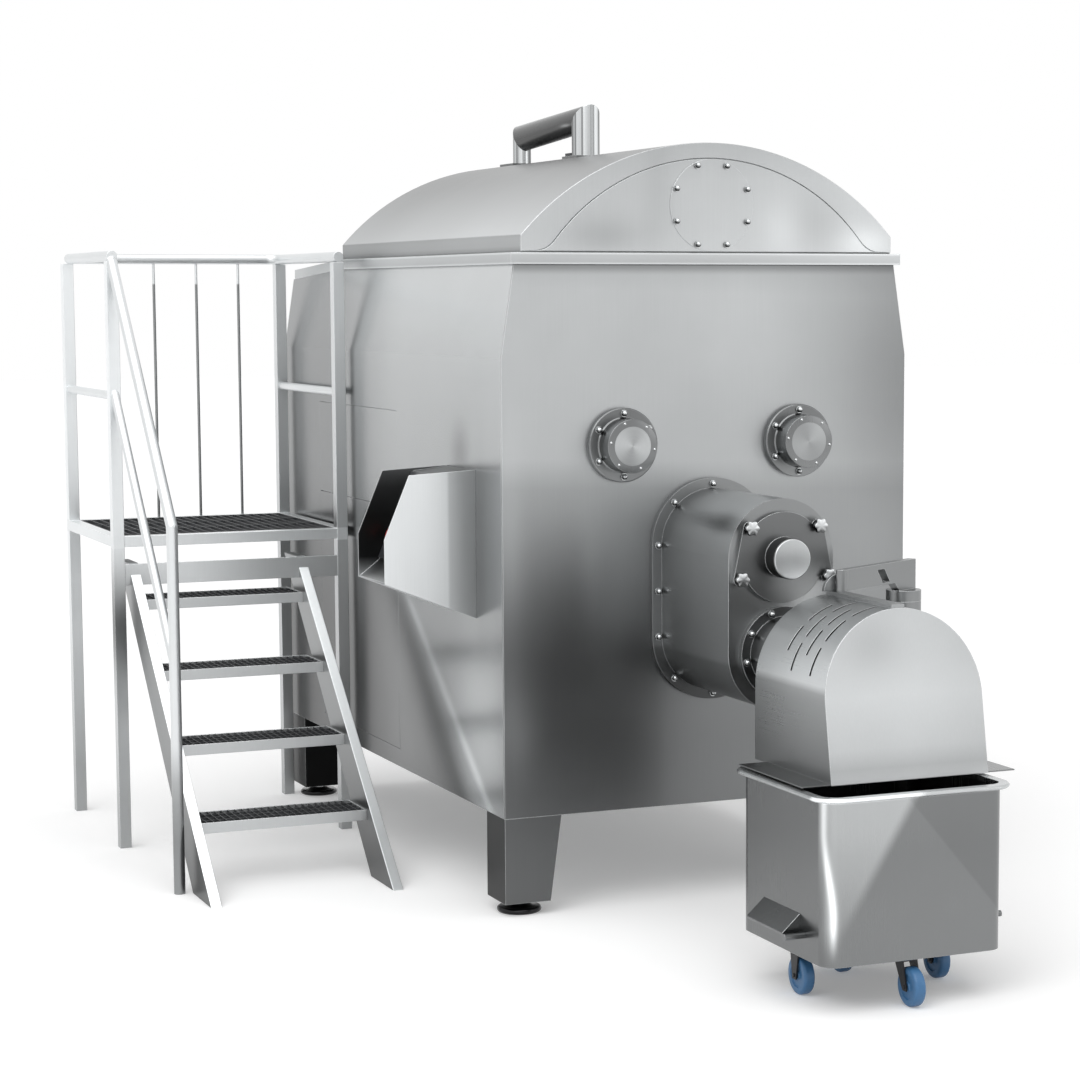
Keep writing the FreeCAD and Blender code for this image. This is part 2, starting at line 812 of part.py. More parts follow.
def make_cutting_set():
    z = main_worm_height
    face = -barrel_end
    plate = rod_y(0, z, plate_radius, face, face + plate_thickness)
    bore = rod_y(0, z, knife_journal_radius + running_gap, face, face + plate_thickness)
    holes = []
    for ring in range(1, plate_hole_rows + 1):
        reach = plate_hole_start + plate_hole_step * ring
        for x, hz in on_circle(0, z, reach, 6 * ring, 15 * ring):
            holes.append(rod_y(x, hz, plate_hole_radius, face, face + plate_thickness))
    add("hole_plate", plate.cut(bore).cut(Part.makeCompound(holes)))

    back = face + plate_thickness + knife_gap
    reach = plate_radius - knife_tip_gap
    half = knife_width / 2
    knife = rod_y(0, z, knife_hub_radius, back, back + knife_thickness)
    for k in range(knife_blades):
        blade = plate_y([(0, z - half), (reach, z - half * knife_tip_back),
                         (reach, z + half * knife_tip_front), (0, z + half)],
                        back, back + knife_thickness)
        blade.rotate(V(0, 0, z), V(0, 1, 0), 360.0 * k / knife_blades)
        knife = knife.fuse(blade)
    hole = rod_y(0, z, knife_journal_radius + running_gap, back, back + knife_thickness)
    add("knife", knife.cut(hole))

    start = back + knife_thickness + knife_gap
    disc = rod_y(0, z, plate_radius, start, start + precutter_thickness)
    disc = disc.cut(rod_y(0, z, knife_journal_radius + running_gap, start, start + precutter_thickness))
    for x, hz in on_circle(0, z, precutter_hole_circle, precutter_hole_count, 0):
        disc = disc.cut(rod_y(x, hz, precutter_hole_radius, start, start + precutter_thickness))
    add("pre_cutter", disc)

    lip = face - nut_lip_thickness
    nut = rod_y(0, z, nut_radius, lip, face + nut_length - nut_lip_thickness)
    nut = nut.cut(rod_y(0, z, barrel_radius + running_gap, face, face + nut_length))
    nut = nut.cut(rod_y(0, z, nut_lip_radius, lip, face))
    for k in range(nut_lug_count):
        lug = box(-nut_lug_width / 2, nut_lug_width / 2, lip, lip + nut_length * nut_lug_share,
                  z + nut_radius - nut_lug_root, z + nut_radius + nut_lug_rise)
        lug.rotate(V(0, 0, z), V(0, 1, 0), nut_first_lug + 360.0 * k / nut_lug_count)
        nut = nut.fuse(lug)
    add("ring_nut", nut)


# Guard hood

def hood_profile(inset):
    # a flat-sided arch: straight sides below a half round
    reach = hood_half_width - inset
    centre = hood_crest - hood_half_width
    y0, y1 = -hood_front - 2 * hood_lean, -hood_back
    arch = rod_y(0, centre, reach, y0, y1)
    return arch.fuse(box(-reach, reach, y0, y1, hood_bottom, centre)).common(
        box(-reach, reach, y0, y1, hood_bottom, hood_crest)).removeSplitter()


def hood_slab(offset, thickness):
    # everything behind the leaning front plane, or a sheet of it
    y_top, y_low = -hood_front + offset, -hood_front - hood_lean + offset
    far = 2 * hood_half_width
    outline = [(y_low, hood_bottom), (y_top, hood_crest), (y_top + thickness, hood_crest),
               (y_low + thickness, hood_bottom)]
    return plate_x(outline, -far, far)


def make_hood():
    deep = hood_front + hood_lean
    shell = hood_profile(0).cut(hood_profile(hood_sheet))
    shell = shell.common(hood_slab(hood_sheet, deep))
    centre = hood_crest - hood_half_width
    cutters = []
    for row in range(slot_rows):
        y = -slot_first_row + slot_row_step * row
        first = slot_first_angle if row % 2 == 0 else slot_first_angle - slot_step / 2
        count = 3 if row % 2 == 0 else 2
        angles = [first - slot_step * k for k in range(count)]
        for angle in angles + [180 - a for a in angles]:
            ring = Part.makeCylinder(hood_half_width + slot_depth, slot_width,
                                     V(0, y - slot_width / 2, centre), V(0, 1, 0), slot_arc)
            inside = rod_y(0, centre, hood_half_width - slot_depth, y - slot_width, y + slot_width)
            ring = ring.cut(inside).Solids[0]
            middle = ring.CenterOfMass
            now = math.degrees(math.atan2(middle.z - centre, middle.x))
            ring.rotate(V(0, 0, centre), V(0, 1, 0), now - angle)
            cutters.append(ring)
    shell = shell.cut(Part.makeCompound(cutters))
    add("hood_front", hood_profile(0).common(hood_slab(0, hood_sheet)))
    for side in (-1, 1):
        low, high = sorted((side * hood_half_width, side * (hood_half_width + flap_width)))
        shell = shell.fuse(box(low, high, -flap_front, -flap_back, hood_bottom, hood_bottom + hood_sheet))
    bar = box(-hood_bar_width / 2, hood_bar_width / 2, -hood_front, -hood_back - hood_bar_inset,
              hood_crest - hood_bar_height / 2, hood_crest + hood_bar_height)
    add("hood_shell", shell.fuse(bar.cut(rod_y(0, centre, hood_half_width, -hood_front, -hood_back))))


def make_swing_arm():
    # an upright plate from the hinge barrel to the bar on the hood's crest
    x0, y0 = hinge_x, -hinge_y
    x1, y1 = arm_tip_x, -arm_tip_y
    length = math.hypot(x1 - x0, y1 - y0)
    direction = math.degrees(math.atan2(y1 - y0, x1 - x0))
    bar_top = hood_crest + hood_bar_height
    outline = [(-arm_heel, arm_seat), (-arm_heel, arm_top), (length, arm_top), (length, bar_top),
               (arm_root_high, bar_top), (arm_root_low, arm_seat)]
    plate = polygon([V(u, -swing_arm_thickness / 2, w) for u, w in outline])
    plate = plate.extrude(V(0, swing_arm_thickness, 0))
    # a slanted slot on the arm's lower edge
    slot_low = bar_top + arm_slot_rim
    slot_high = slot_low + arm_slot_length
    slot_outline = [(arm_slot_start, slot_high), (arm_slot_start + arm_slot_length, slot_high),
                    (arm_slot_start + arm_slot_length - arm_slot_lean, slot_low),
                    (arm_slot_start - arm_slot_lean, slot_low)]
    slot = polygon([V(u, -swing_arm_thickness, w) for u, w in slot_outline])
    plate = plate.cut(slot.extrude(V(0, 2 * swing_arm_thickness, 0)))
    plate = plate.fuse(rod_z(length, 0, arm_tip_radius, bar_top, arm_top))
    plate.rotate(V(0, 0, 0), V(0, 0, 1), direction)
    plate.translate(V(x0, y0, 0))
    barrel = rod_z(x0, y0, hinge_barrel_radius, hinge_seam + hinge_barrel_gap, arm_seat)
    bore_top = arm_seat - hinge_pin_cover + hinge_pin_play
    barrel = barrel.cut(rod_z(x0, y0, hinge_pin_radius + running_gap, hinge_seam, bore_top))
    disc_y = y1 + arm_tip_radius - clamp_disc_thickness / 4
    disc = rod_y(x1, bar_top, clamp_disc_radius, disc_y, disc_y + clamp_disc_thickness)
    disc = disc.fuse(rod_y(x1, bar_top + clamp_disc_radius / 2, clamp_stud_radius, y1, disc_y))
    disc = disc.cut(box(-hood_half_width, hood_half_width, y1, disc_y + clamp_disc_thickness, 0, bar_top))
    add("swing_arm", plate.fuse([barrel, disc]))


def make_hood_hinge():
    x0, y0 = hinge_x, -hinge_y
    barrel = rod_z(x0, y0, hinge_barrel_radius, hinge_barrel_bottom, hinge_seam)
    pin = rod_z(x0, y0, hinge_pin_radius, hinge_barrel_bottom, arm_seat - hinge_pin_cover)
    outline = [(outlet_radius, -outlet_length + 2 * hinge_bracket_inset),
               (outlet_radius, -outlet_length + 9 * hinge_bracket_inset),
               (x0 + hinge_barrel_radius / 2, y0 + hinge_bracket_inset),
               (x0 - hinge_barrel_radius / 2, y0 - hinge_bracket_inset)]
    bracket = plate_z(outline, hinge_barrel_bottom + hinge_bracket_inset, hinge_seam - hinge_bracket_inset)
    add("hood_hinge_post", barrel.fuse([pin, bracket]))


# Lid

def lid_arc_radius(crest, spring, half_span):
    rise = crest - spring
    return (half_span ** 2 + rise ** 2) / (2 * rise)


def lid_solid(y0, y1, inset):
    # the arched lid's outer form, drawn in by the inset
    spring = seal_top + lid_skirt
    radius = lid_arc_radius(lid_crest, spring, lid_half_width)
    reach = lid_half_width - inset
    arc = rod_y(0, lid_crest - radius, radius - inset, y0, y1)
    block = box(-reach, reach, y0, y1, seal_top, lid_crest)
    return arc.common(block).removeSplitter()


def make_lid():
    y0, y1 = -lid_front, lid_back
    shell = lid_solid(y0, y1, 0).cut(lid_solid(y0, y1, lid_sheet))
    add("lid_shell", shell.fuse(lid_solid(y1 - lid_sheet, y1, lid_sheet)).removeSplitter())

    face = y0 - lid_band_thickness
    band = lid_solid(face, y0, 0)
    inner = rod_y(0, lid_seam_crest - lid_seam_radius, lid_seam_radius, face, y0)
    reach = math.sqrt(lid_seam_radius ** 2 - (seal_top + lid_band_foot + lid_seam_radius
                                              - lid_seam_crest) ** 2)
    inner = inner.common(box(-reach, reach, face, y0, seal_top, lid_crest))
    add("lid_front", lid_solid(y0, y0 + lid_sheet, lid_sheet).fuse(band.cut(inner)))

    port_face = y0 - port_thickness
    add("lid_port", rod_y(0, port_height, port_radius, port_face, y0))
    for x, z in on_circle(0, port_height, port_bolt_circle, port_bolt_count, 22.5):
        add("port_bolts", hexagon_y(x, z, port_bolt_across,
                                     port_face - port_bolt_head, port_face))

    inner_side = trough_side - seal_inset
    outer = inner_side + seal_width
    front, back = front_plate_thickness, bulkhead_front
    add("lid_seal",
        box(-outer, -inner_side, front, back, rim_top, seal_top),
        box(inner_side, outer, front, back, rim_top, seal_top),
        box(-outer, outer, front - seal_width, front, rim_top, seal_top),
        box(-outer, outer, back, lid_back, rim_top, seal_top))


def make_bow():
    # a thick tube bow on the lid's crest, one foot a little lower than the other
    spring = seal_top + lid_skirt
    radius = lid_arc_radius(lid_crest, spring, lid_half_width)
    beyond = 2 * bow_foot_radius
    crown = rod_y(0, lid_crest - radius, radius, bow_front - beyond, bow_back + beyond)
    front_top = V(0, bow_front, bow_front_height)
    back_top = V(0, bow_back, bow_back_height)
    along = (back_top - front_top).normalize()
    low_end = lid_crest - bow_foot_height
    front_low = V(0, bow_front, low_end)
    back_low = V(0, bow_back, low_end)
    bend_front = [front_top - V(0, 0, bow_bend), front_top + along * bow_bend]
    bend_back = [back_top - along * bow_bend, back_top - V(0, 0, bow_bend)]
    path = Part.Wire([Part.makeLine(front_low, bend_front[0]),
                      round_corner(bend_front[0], front_top, bend_front[1]),
                      Part.makeLine(bend_front[1], bend_back[0]),
                      round_corner(bend_back[0], back_top, bend_back[1]),
                      Part.makeLine(bend_back[1], back_low)])
    ring = Part.Wire([Part.makeCircle(bow_radius, front_low, V(0, 0, 1))])
    bow = path.makePipeShell([ring], True, False)
    for y in (bow_front, bow_back):
        bow = bow.fuse(rod_z(0, y, bow_foot_radius, low_end, lid_crest + bow_foot_height))
    start = bow_front + bow_foot_radius
    block = box(-bow_block_width / 2, bow_block_width / 2, start, start + bow_block_length,
                low_end, lid_crest + bow_block_height)
    add("lid_bow", bow.cut(crown), block.cut(crown))


def make_lid_hinges():
    x, z = half_top + rim_overhang - lid_hinge_inset, rim_top + lid_knuckle_radius
    span = lid_back - 2 * lid_hinge_length
    for k in range(lid_hinge_count):
        middle = lid_hinge_length + span * k / (lid_hinge_count - 1)
        low, high = middle - lid_hinge_length / 2, middle + lid_hinge_length / 2
        third = lid_hinge_length / 3
        base = rod_y(x, z, lid_pin_radius, low, high)
        for y0, y1 in ((low, low + third - curved_gap), (high - third + curved_gap, high)):
            foot = box(x - lid_knuckle_radius, x + lid_knuckle_radius, y0, y1, rim_top, z)
            base = base.fuse([rod_y(x, z, lid_knuckle_radius, y0, y1), foot])
        add("lid_hinge_bases", base)
        y0, y1 = low + third, high - third
        barrel = rod_y(x, z, lid_knuckle_radius - curved_gap, y0, y1)
        plate = box(lid_half_width, lid_half_width + lid_leaf_sheet, y0, y1, z, z + lid_leaf_height)
        web = box(lid_half_width, x, y0, y1, z, z + lid_leaf_sheet)
        leaf = barrel.fuse([plate, web])
        add("lid_hinge_leaves", leaf.cut(rod_y(x, z, lid_pin_radius + running_gap, y0, y1)))


# Console

def console_profile():
    wall = half_width
    return [V(-wall, 0, console_top), V(-wall - console_reach_top, 0, console_top - console_slope),
            V(-wall - console_reach, 0, console_chin), V(-wall - console_reach, 0, console_lip),
            V(-wall, 0, console_bottom)]


def button(base, out, radius, height, depth):
    # a round button that starts the given depth below the panel's face
    return Part.makeCylinder(radius, height + depth, base - out * depth, out)


def make_console():
    y0, y1 = console_front, console_front + console_width
    outline = console_profile()
    cheek_front = plate_y([(p.x, p.z) for p in outline], y0, y0 + console_sheet)
    cheek_back = plate_y([(p.x, p.z) for p in outline], y1 - console_sheet, y1)

    down = (outline[2] - outline[1]).normalize()
    out = V(down.z, 0, -down.x)
    head = outline[1] - out * console_recess - down * console_head
    foot = outline[2] - out * console_recess + down * console_foot
    inset = V(console_inset, 0, console_inset)
    body = [outline[0] - V(0, 0, console_inset), head, foot, outline[3] + inset,
            outline[4] + V(0, 0, console_inset)]
    add("console_housing", plate_y([(p.x, p.z) for p in body], y0 + console_sheet, y1 - console_sheet),
        cheek_front, cheek_back)

    length = (foot - head).Length

    def panel_point(u, v):
        # u runs along Y from the front cheek, v runs down the sloping face
        return head + down * v + V(0, y0 + u, 0)

    def panel_sheet(u0, u1, v0, v1, rise, thickness):
        corners = [panel_point(u, v) + out * rise for u, v in ((u0, v0), (u1, v0), (u1, v1), (u0, v1))]
        return polygon(corners).extrude(out * thickness)

    side = console_sheet + panel_margin / 3
    panel = panel_sheet(side, console_width - side, panel_margin, length - panel_margin, 0,
                        console_panel_thickness)
    middle = console_width / 2
    row = length * button_row
    places = {"start_button": (middle - 1.5 * button_pitch, row),
              "stop_button": (middle - 0.5 * button_pitch, row),
              "emergency_stop": (middle + 1.9 * button_pitch, row),
              "selector_switch": (middle - 2.7 * button_pitch, length * switch_row)}
    bases = {name: panel_point(u, v) + out * console_panel_thickness for name, (u, v) in places.items()}

    for name in ("start_button", "stop_button"):
        add(name, button(bases[name], out, button_radius, button_height - button_travel, button_travel))
        panel = panel.cut(button(bases[name], out, button_radius + curved_gap, 0, console_panel_thickness))

    base = bases["emergency_stop"]
    neck = estop_height * estop_neck_share
    stem = button(base, out, estop_stem_radius, neck, console_panel_thickness / 2)
    head_disc = Part.makeCylinder(estop_radius, estop_height - neck, base + out * neck, out)
    panel = panel.cut(button(base, out, estop_stem_radius + curved_gap, 0, console_panel_thickness))
    add("emergency_stop", stem.fuse(head_disc))

    base = bases["selector_switch"]
    knob = Part.makeCylinder(switch_radius, switch_height / 2, base, out)
    half_grip = V(0, switch_grip_width / 2, 0)
    reach = down * switch_radius * switch_grip_share
    grip = polygon([base - half_grip - reach, base + half_grip - reach,
                    base + half_grip + reach, base - half_grip + reach])
    add("selector_switch", knob.fuse(grip.extrude(out * switch_height)))

    u = middle - screen_width / 2
    screen = panel_sheet(u, u + screen_width, screen_margin, screen_margin + screen_height,
                         console_panel_thickness, screen_thickness)
    add("console_panel", panel, screen)
    return bases, out


# Drives

def make_drives():
    y0 = hopper_length
    low = floor_gap + floor_sheet
    half = gear_unit_width / 2
    z0 = main_worm_height - gear_unit_height / 2
    unit = box(-half, half, y0, y0 + gear_unit_length, z0, feed_worm_height + gear_unit_height / 3)
    for z in (main_worm_height, feed_worm_height):
        unit = unit.cut(rod_y(0, z, journal_radius + running_gap, y0,
                              y0 + gear_unit_length / 2 + shaft_end_gap))
    motor_y = y0 + gear_unit_length / 2 + motor_setback
    motor = rod_x(motor_y, main_worm_height, motor_radius, half, half + motor_length)
    add("worm_drive", unit, motor)
    stand = half + stand_overhang_side
    add("base_frame", box(-stand, stand, y0, y0 + gear_unit_length + stand_overhang_back, low, z0))
    for x in (-shaft_x, shaft_x):
        wide = mixer_gear_width / 2
        case = box(x - wide, x + wide, y0, y0 + mixer_gear_length,
                   shaft_height - wide, shaft_height + wide)
        case = case.cut(rod_y(x, shaft_height, mixing_shaft_radius + running_gap, y0,
                              y0 + mixer_gear_length / 2 + shaft_end_gap))
        motor = rod_z(x, y0 + mixer_gear_length / 2, mixer_motor_radius, shaft_height + wide,
                      shaft_height + wide + mixer_motor_length)
        add("mixer_drives", case, motor)


# Legs and levelling feet

def make_legs():
    top, low = floor_gap, foot_gap
    outer = half_width
    for sx in (-1, 1):
        for y in (0, casing_length - leg_back_inset - leg_depth):
            outline = [(sx * outer, top), (sx * outer, low), (sx * (outer - leg_width_bottom), low),
                       (sx * (outer - leg_width_top), top)]
            leg = plate_y(outline, y, y + leg_depth)
            fx, fy = sx * (outer - leg_width_bottom / 2), y + leg_depth / 2
            add("legs", leg)
            pad = rod_z(fx, fy, foot_radius, 0, foot_height)
            pad = pad.makeChamfer(foot_chamfer, [e for e in pad.Edges if e.BoundBox.ZMin > foot_height - 1])
            add("levelling_feet", pad.fuse(rod_z(fx, fy, stem_radius, foot_height, low)))


# Platform

def cross_beam():
    half = post_size / 2
    return box(platform_left + half, platform_right - half, platform_front - half,
               platform_front - half + cross_beam_thickness, cross_beam_top - cross_beam_height,
               cross_beam_top)


def make_platform():
    left, right, front, back = platform_left, platform_right, platform_front, platform_back
    half = post_size / 2
    rail_z = deck_height + rail_height
    for x in (left, right):
        for y in (front, back):
            add("platform_frame", box(x - half, x + half, y - half, y + half, 0,
                                      rail_z - rail_tube_radius))
    low = deck_height - deck_beam_height
    add("platform_frame",
        box(left + half, right - half, front - half, front + half, low, deck_height),
        box(left + half, right - half, back - half, back + half, low, deck_height),
        box(left - half, left + half, front + half, back - half, low, deck_height),
        box(right - half, right + half, front + half, back - half, low, deck_height))
    add("platform_frame", cross_beam())

    inner_x0, inner_x1 = left + half, right - half
    inner_y0, inner_y1 = front + half, back - half
    z0 = deck_height - grating_height
    for y in (inner_y0, inner_y1 - grating_ledge_width):
        add("platform_frame", box(inner_x0, inner_x1, y, y + grating_ledge_width,
                                  z0 - grating_ledge_height, z0))
    pitch = (inner_x1 - inner_x0 - 2 * seam - grating_bar) / (grating_bars - 1)
    bars = [box(inner_x0 + seam + pitch * k, inner_x0 + seam + pitch * k + grating_bar,
                inner_y0 + seam, inner_y1 - seam, z0, deck_height) for k in range(grating_bars)]
    step = (inner_y1 - inner_y0 - 2 * seam - grating_bar) / (grating_cross_bars - 1)
    cross = []
    for k in range(grating_cross_bars):
        y = inner_y0 + seam + step * k
        cross.append(box(inner_x0 + seam, inner_x1 - seam, y, y + grating_bar, z0, deck_height))
    add("deck_grating", bars[0].fuse(bars[1:] + cross))

    bend = rail_bend_radius
    start, end = V(left, front - half, rail_z), V(right, front - half, rail_z)
    left_corner, right_corner = V(left, back, rail_z), V(right, back, rail_z)
    along, across = V(0, bend, 0), V(bend, 0, 0)
    path = [Part.makeLine(start, left_corner - along),
            round_corner(left_corner - along, left_corner, left_corner + across),
            Part.makeLine(left_corner + across, right_corner - across),
            round_corner(right_corner - across, right_corner, right_corner - along),
            Part.makeLine(right_corner - along, end)]
    ring = Part.Wire([Part.makeCircle(rail_tube_radius, start, V(0, 1, 0))])
    add("guard_rails", Part.Wire(path).makePipeShell([ring], True, False))
    mid_z = deck_height + mid_rail_height
    for x in (left, right):
        add("guard_rails", rod_y(x, mid_z, mid_rail_radius, front + half, back - half))
    gap = (right - left) / (bar_count + 1)
    for k in range(bar_count):
        add("guard_rails", rod_z(left + gap * (k + 1), back, bar_radius, deck_height,
                                 rail_z - rail_tube_radius))


def step_height_at(k):
    # treads count from the floor up
    return deck_height * (k + 1) / (step_count + 1)


def make_stairs():
    half = post_size / 2
    deck_face = platform_front - half
    foot_y = stringer_foot_front
    outline = [(foot_y, 0), (foot_y + stringer_foot_width, 0),
               (stringer_top_front + stringer_top_width, cross_beam_top),
               (stringer_top_front, cross_beam_top)]
    for x in (stair_left - stair_plate, stair_right):
        add("stair_stringers", plate_x(outline, x, x + stair_plate).cut(cross_beam()))
    x0, x1 = stair_left, stair_right
    for k in range(step_count):
        z = step_height_at(k)
        y = deck_face - top_step_setback - step_going * (step_count - 1 - k)
        frame = box(x0, x1, y, y + step_depth, z - step_height, z)
        inner_x0, inner_x1 = x0 + step_sheet, x1 - step_sheet
        inner_y0, inner_y1 = y + step_sheet, y + step_depth - step_sheet
        frame = frame.cut(box(inner_x0, inner_x1, inner_y0, inner_y1, z - step_height, z))
        pitch = (inner_x1 - inner_x0) / (step_bars + 1)
        bars = []
        for j in range(step_bars):
            x = inner_x0 + pitch * (j + 1)
            bars.append(box(x - grating_bar / 2, x + grating_bar / 2, inner_y0, inner_y1,
                            z - grating_height, z))
        middle = y + step_depth / 2
        cross = box(inner_x0, inner_x1, middle - grating_bar / 2, middle + grating_bar / 2,
                    z - grating_height, z)
        add("stair_treads", frame.fuse(bars + [cross]))


def make_handrail():
    # the stair's handrail: a post at the foot, bent over into a sloping tube up to the platform
    x = platform_left
    tube = rail_tube_radius
    top_z = deck_height + rail_height
    half = post_size / 2
    start = V(x, platform_front - half, top_z - handrail_drop)
    bend = V(x, handrail_foot, handrail_bend_height)
    foot = V(x, handrail_foot, 0)
    # both sloping tubes run on into the post and are cut off flush with its face
    post = box(x - half, x + half, platform_front - half, platform_front + half, 0, top_z + 2 * tube)
    run_on = (start - bend).normalize() * 2 * tube
    hand_tube = rod_between(foot, bend, tube).fuse([Part.makeSphere(tube, bend),
                                                    rod_between(bend, start + run_on, tube)])
    slope = (start.z - bend.z) / (start.y - bend.y)
    mid_z = deck_height + mid_rail_height
    high_end = V(x, platform_front - half, mid_z)
    low_end = V(x, handrail_foot, mid_z - slope * (platform_front - half - handrail_foot))
    mid_tube = rod_between(low_end, high_end + run_on, mid_rail_radius)
    add("guard_rails", hand_tube.fuse(mid_tube).cut(post))


# Trolley

def rounded_block(half_x, half_y, corner, z0, z1):
    block = box(trolley_x - half_x, trolley_x + half_x, trolley_y - half_y, trolley_y + half_y, z0, z1)
    uprights = [e for e in block.Edges if abs(e.Vertexes[0].Z - e.Vertexes[1].Z) > 1]
    return block.makeFillet(corner, uprights)


def make_trolley():
    hx, hy = bin_width / 2, bin_depth / 2
    outer = rounded_block(hx, hy, bin_corner, bin_bottom, bin_top - bin_rim_height)
    inner = rounded_block(hx - bin_sheet, hy - bin_sheet, bin_corner - bin_sheet,
                          bin_bottom + bin_sheet, bin_top)
    rim = rounded_block(hx + bin_rim_width, hy + bin_rim_width, bin_corner + bin_rim_width,
                        bin_top - bin_rim_height, bin_top)
    level = [e for e in rim.Edges if e.BoundBox.ZLength < 1]
    rim = rim.makeChamfer(bin_rim_chamfer, level)
    add("trolley_bin", outer.fuse(rim).cut(inner))

    for sx in (-1, 1):
        wall = trolley_x + sx * hx
        z = lug_centre_height
        y0, y1 = trolley_y - lug_length / 2, trolley_y + lug_length / 2
        outline = [(wall, z + lug_height / 2), (wall, z + lug_height / 2 - lug_root),
                   (wall + sx * (lug_reach - lug_sheet), z - lug_height / 2),
                   (wall + sx * lug_reach, z - lug_height / 2),
                   (wall + sx * lug_reach, z - lug_height / 2 + lug_sheet)]
        lug = plate_y(outline, y0 + lug_sheet, y1 - lug_sheet)
        cheek = [(wall, z + lug_height / 2), (wall, z - lug_height / 2),
                 (wall + sx * lug_reach, z - lug_height / 2),
                 (wall + sx * lug_reach, z - lug_height / 2 + lug_sheet)]
        lug = lug.fuse([plate_y(cheek, y0, y0 + lug_sheet), plate_y(cheek, y1 - lug_sheet, y1)])
        add("lifting_lugs", lug)
        a, b = sorted((wall, wall + sx * lug_pin_length))
        add("lifting_lugs", rod_x(y0 - 3 * lug_pin_radius, z - lug_height / 2, lug_pin_radius, a, b))


def wheel_solid(x, y):
    # a tread ring with a narrower hub, its axle hole along X
    z = wheel_radius
    half = wheel_width / 2
    wheel = rod_x(y, z, wheel_radius, x - half, x + half)
    rims = [e for e in wheel.Edges if abs(e.Length - 2 * math.pi * wheel_radius) < 1]
    wheel = wheel.makeChamfer(wheel_chamfer, rims)
    for a, b in ((x - half, x - half + hub_recess), (x + half - hub_recess, x + half)):
        wheel = wheel.cut(rod_x(y, z, hub_radius, a, b))
    return wheel.cut(rod_x(y, z, axle_radius + running_gap, x - half, x + half))


def fork_solid(x, y, pivot_y):
    # two side plates joined by a top plate, with the axle through them
    half = wheel_width / 2 + fork_gap
    z = wheel_radius
    z_top = bin_bottom - castor_head_height
    foot = 2 * axle_radius
    plates = []
    for sx in (-1, 1):
        outline = [(y - foot, z - foot), (y + foot, z - foot), (pivot_y + bracket_reach, z_top),
                   (pivot_y - bracket_reach, z_top)]
        a, b = sorted((x + sx * half, x + sx * (half + fork_thickness)))
        plates.append(plate_x(outline, a, b))
    bridge = box(x - half - fork_thickness, x + half + fork_thickness, pivot_y - bracket_reach,
                 pivot_y + bracket_reach, z_top, z_top + fork_thickness)
    reach = half + fork_thickness + axle_end
    axle = rod_x(y, z, axle_radius, x - reach, x + reach)
    return bridge.fuse(plates + [axle]), z_top + fork_thickness


def make_wheels():
    for side, sx in (("left", -1), ("right", 1)):
        x = trolley_x + sx * side_wheel_offset
        add("side_wheel_" + side, wheel_solid(x, trolley_y))
        fork, z_top = fork_solid(x, trolley_y, trolley_y)
        half = wheel_width / 2 + fork_gap + fork_thickness
        pack = box(x - half, x + half, trolley_y - bracket_length / 2, trolley_y + bracket_length / 2,
                   z_top, bin_bottom)
        add("wheel_brackets", fork.fuse(pack))
    for end, sy in (("front", -1), ("back", 1)):
        x, y = trolley_x, trolley_y + sy * castor_offset
        wheel_y = y - castor_trail
        add("castor_wheel_" + end, wheel_solid(x, wheel_y))
        fork, z_top = fork_solid(x, wheel_y, y)
        neck = rod_z(x, y, castor_head_radius, z_top, bin_bottom - fork_thickness)
        add("castor_fork_" + end, fork.fuse(neck))
        add("wheel_brackets", box(x - castor_plate_reach, x + castor_plate_reach, y - castor_plate_reach,
                                  y + castor_plate_reach, bin_bottom - fork_thickness, bin_bottom))


def build():
    make_front_plate()
    make_walls()
    make_back()
    make_floor()
    make_bulkhead()
    make_rim()
    make_trough()
    make_cradle()
    make_paddle_shaft("mixing_shaft_left", -shaft_x, 0.0)
    make_paddle_shaft("mixing_shaft_right", shaft_x, 45.0)
    make_feed_worm()
    make_main_worm()
    make_bearings()
    make_outlet()
    make_cover()
    make_neck()
    make_cutting_set()
    make_hood()
    make_swing_arm()
    make_hood_hinge()
    make_lid()
    make_bow()
    make_lid_hinges()
    console_places = make_console()
    make_drives()
    make_legs()
    make_platform()
    make_stairs()
    make_handrail()
    make_trolley()
    make_wheels()
    return console_places


button_bases, console_out = build()
everything = Part.makeCompound([solid for solids in nodes.values() for solid in solids])
bounds = everything.optimalBoundingBox(False)
shift = V(-(bounds.XMin + bounds.XMax) / 2, -(bounds.YMin + bounds.YMax) / 2, -bounds.ZMin)

os.makedirs("parts", exist_ok=True)
for name, solids in nodes.items():
    shape = solids[0] if len(solids) == 1 else Part.makeCompound(solids)
    shape = shape.copy()
    shape.translate(shift)
    shape.exportStep("parts/" + name + ".step")

print("nodes", len(nodes), "shift", [round(v, 3) for v in shift],
      "size", [round(v, 1) for v in (bounds.XLength, bounds.YLength, bounds.ZLength)])
# the record's joints take these places and this direction
for name, base in button_bases.items():
    print(name, [round(v, 2) for v in base])
print("console_out", [round(v, 5) for v in console_out])
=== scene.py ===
import math
import bpy
import numpy as np
from mathutils import Matrix, Vector


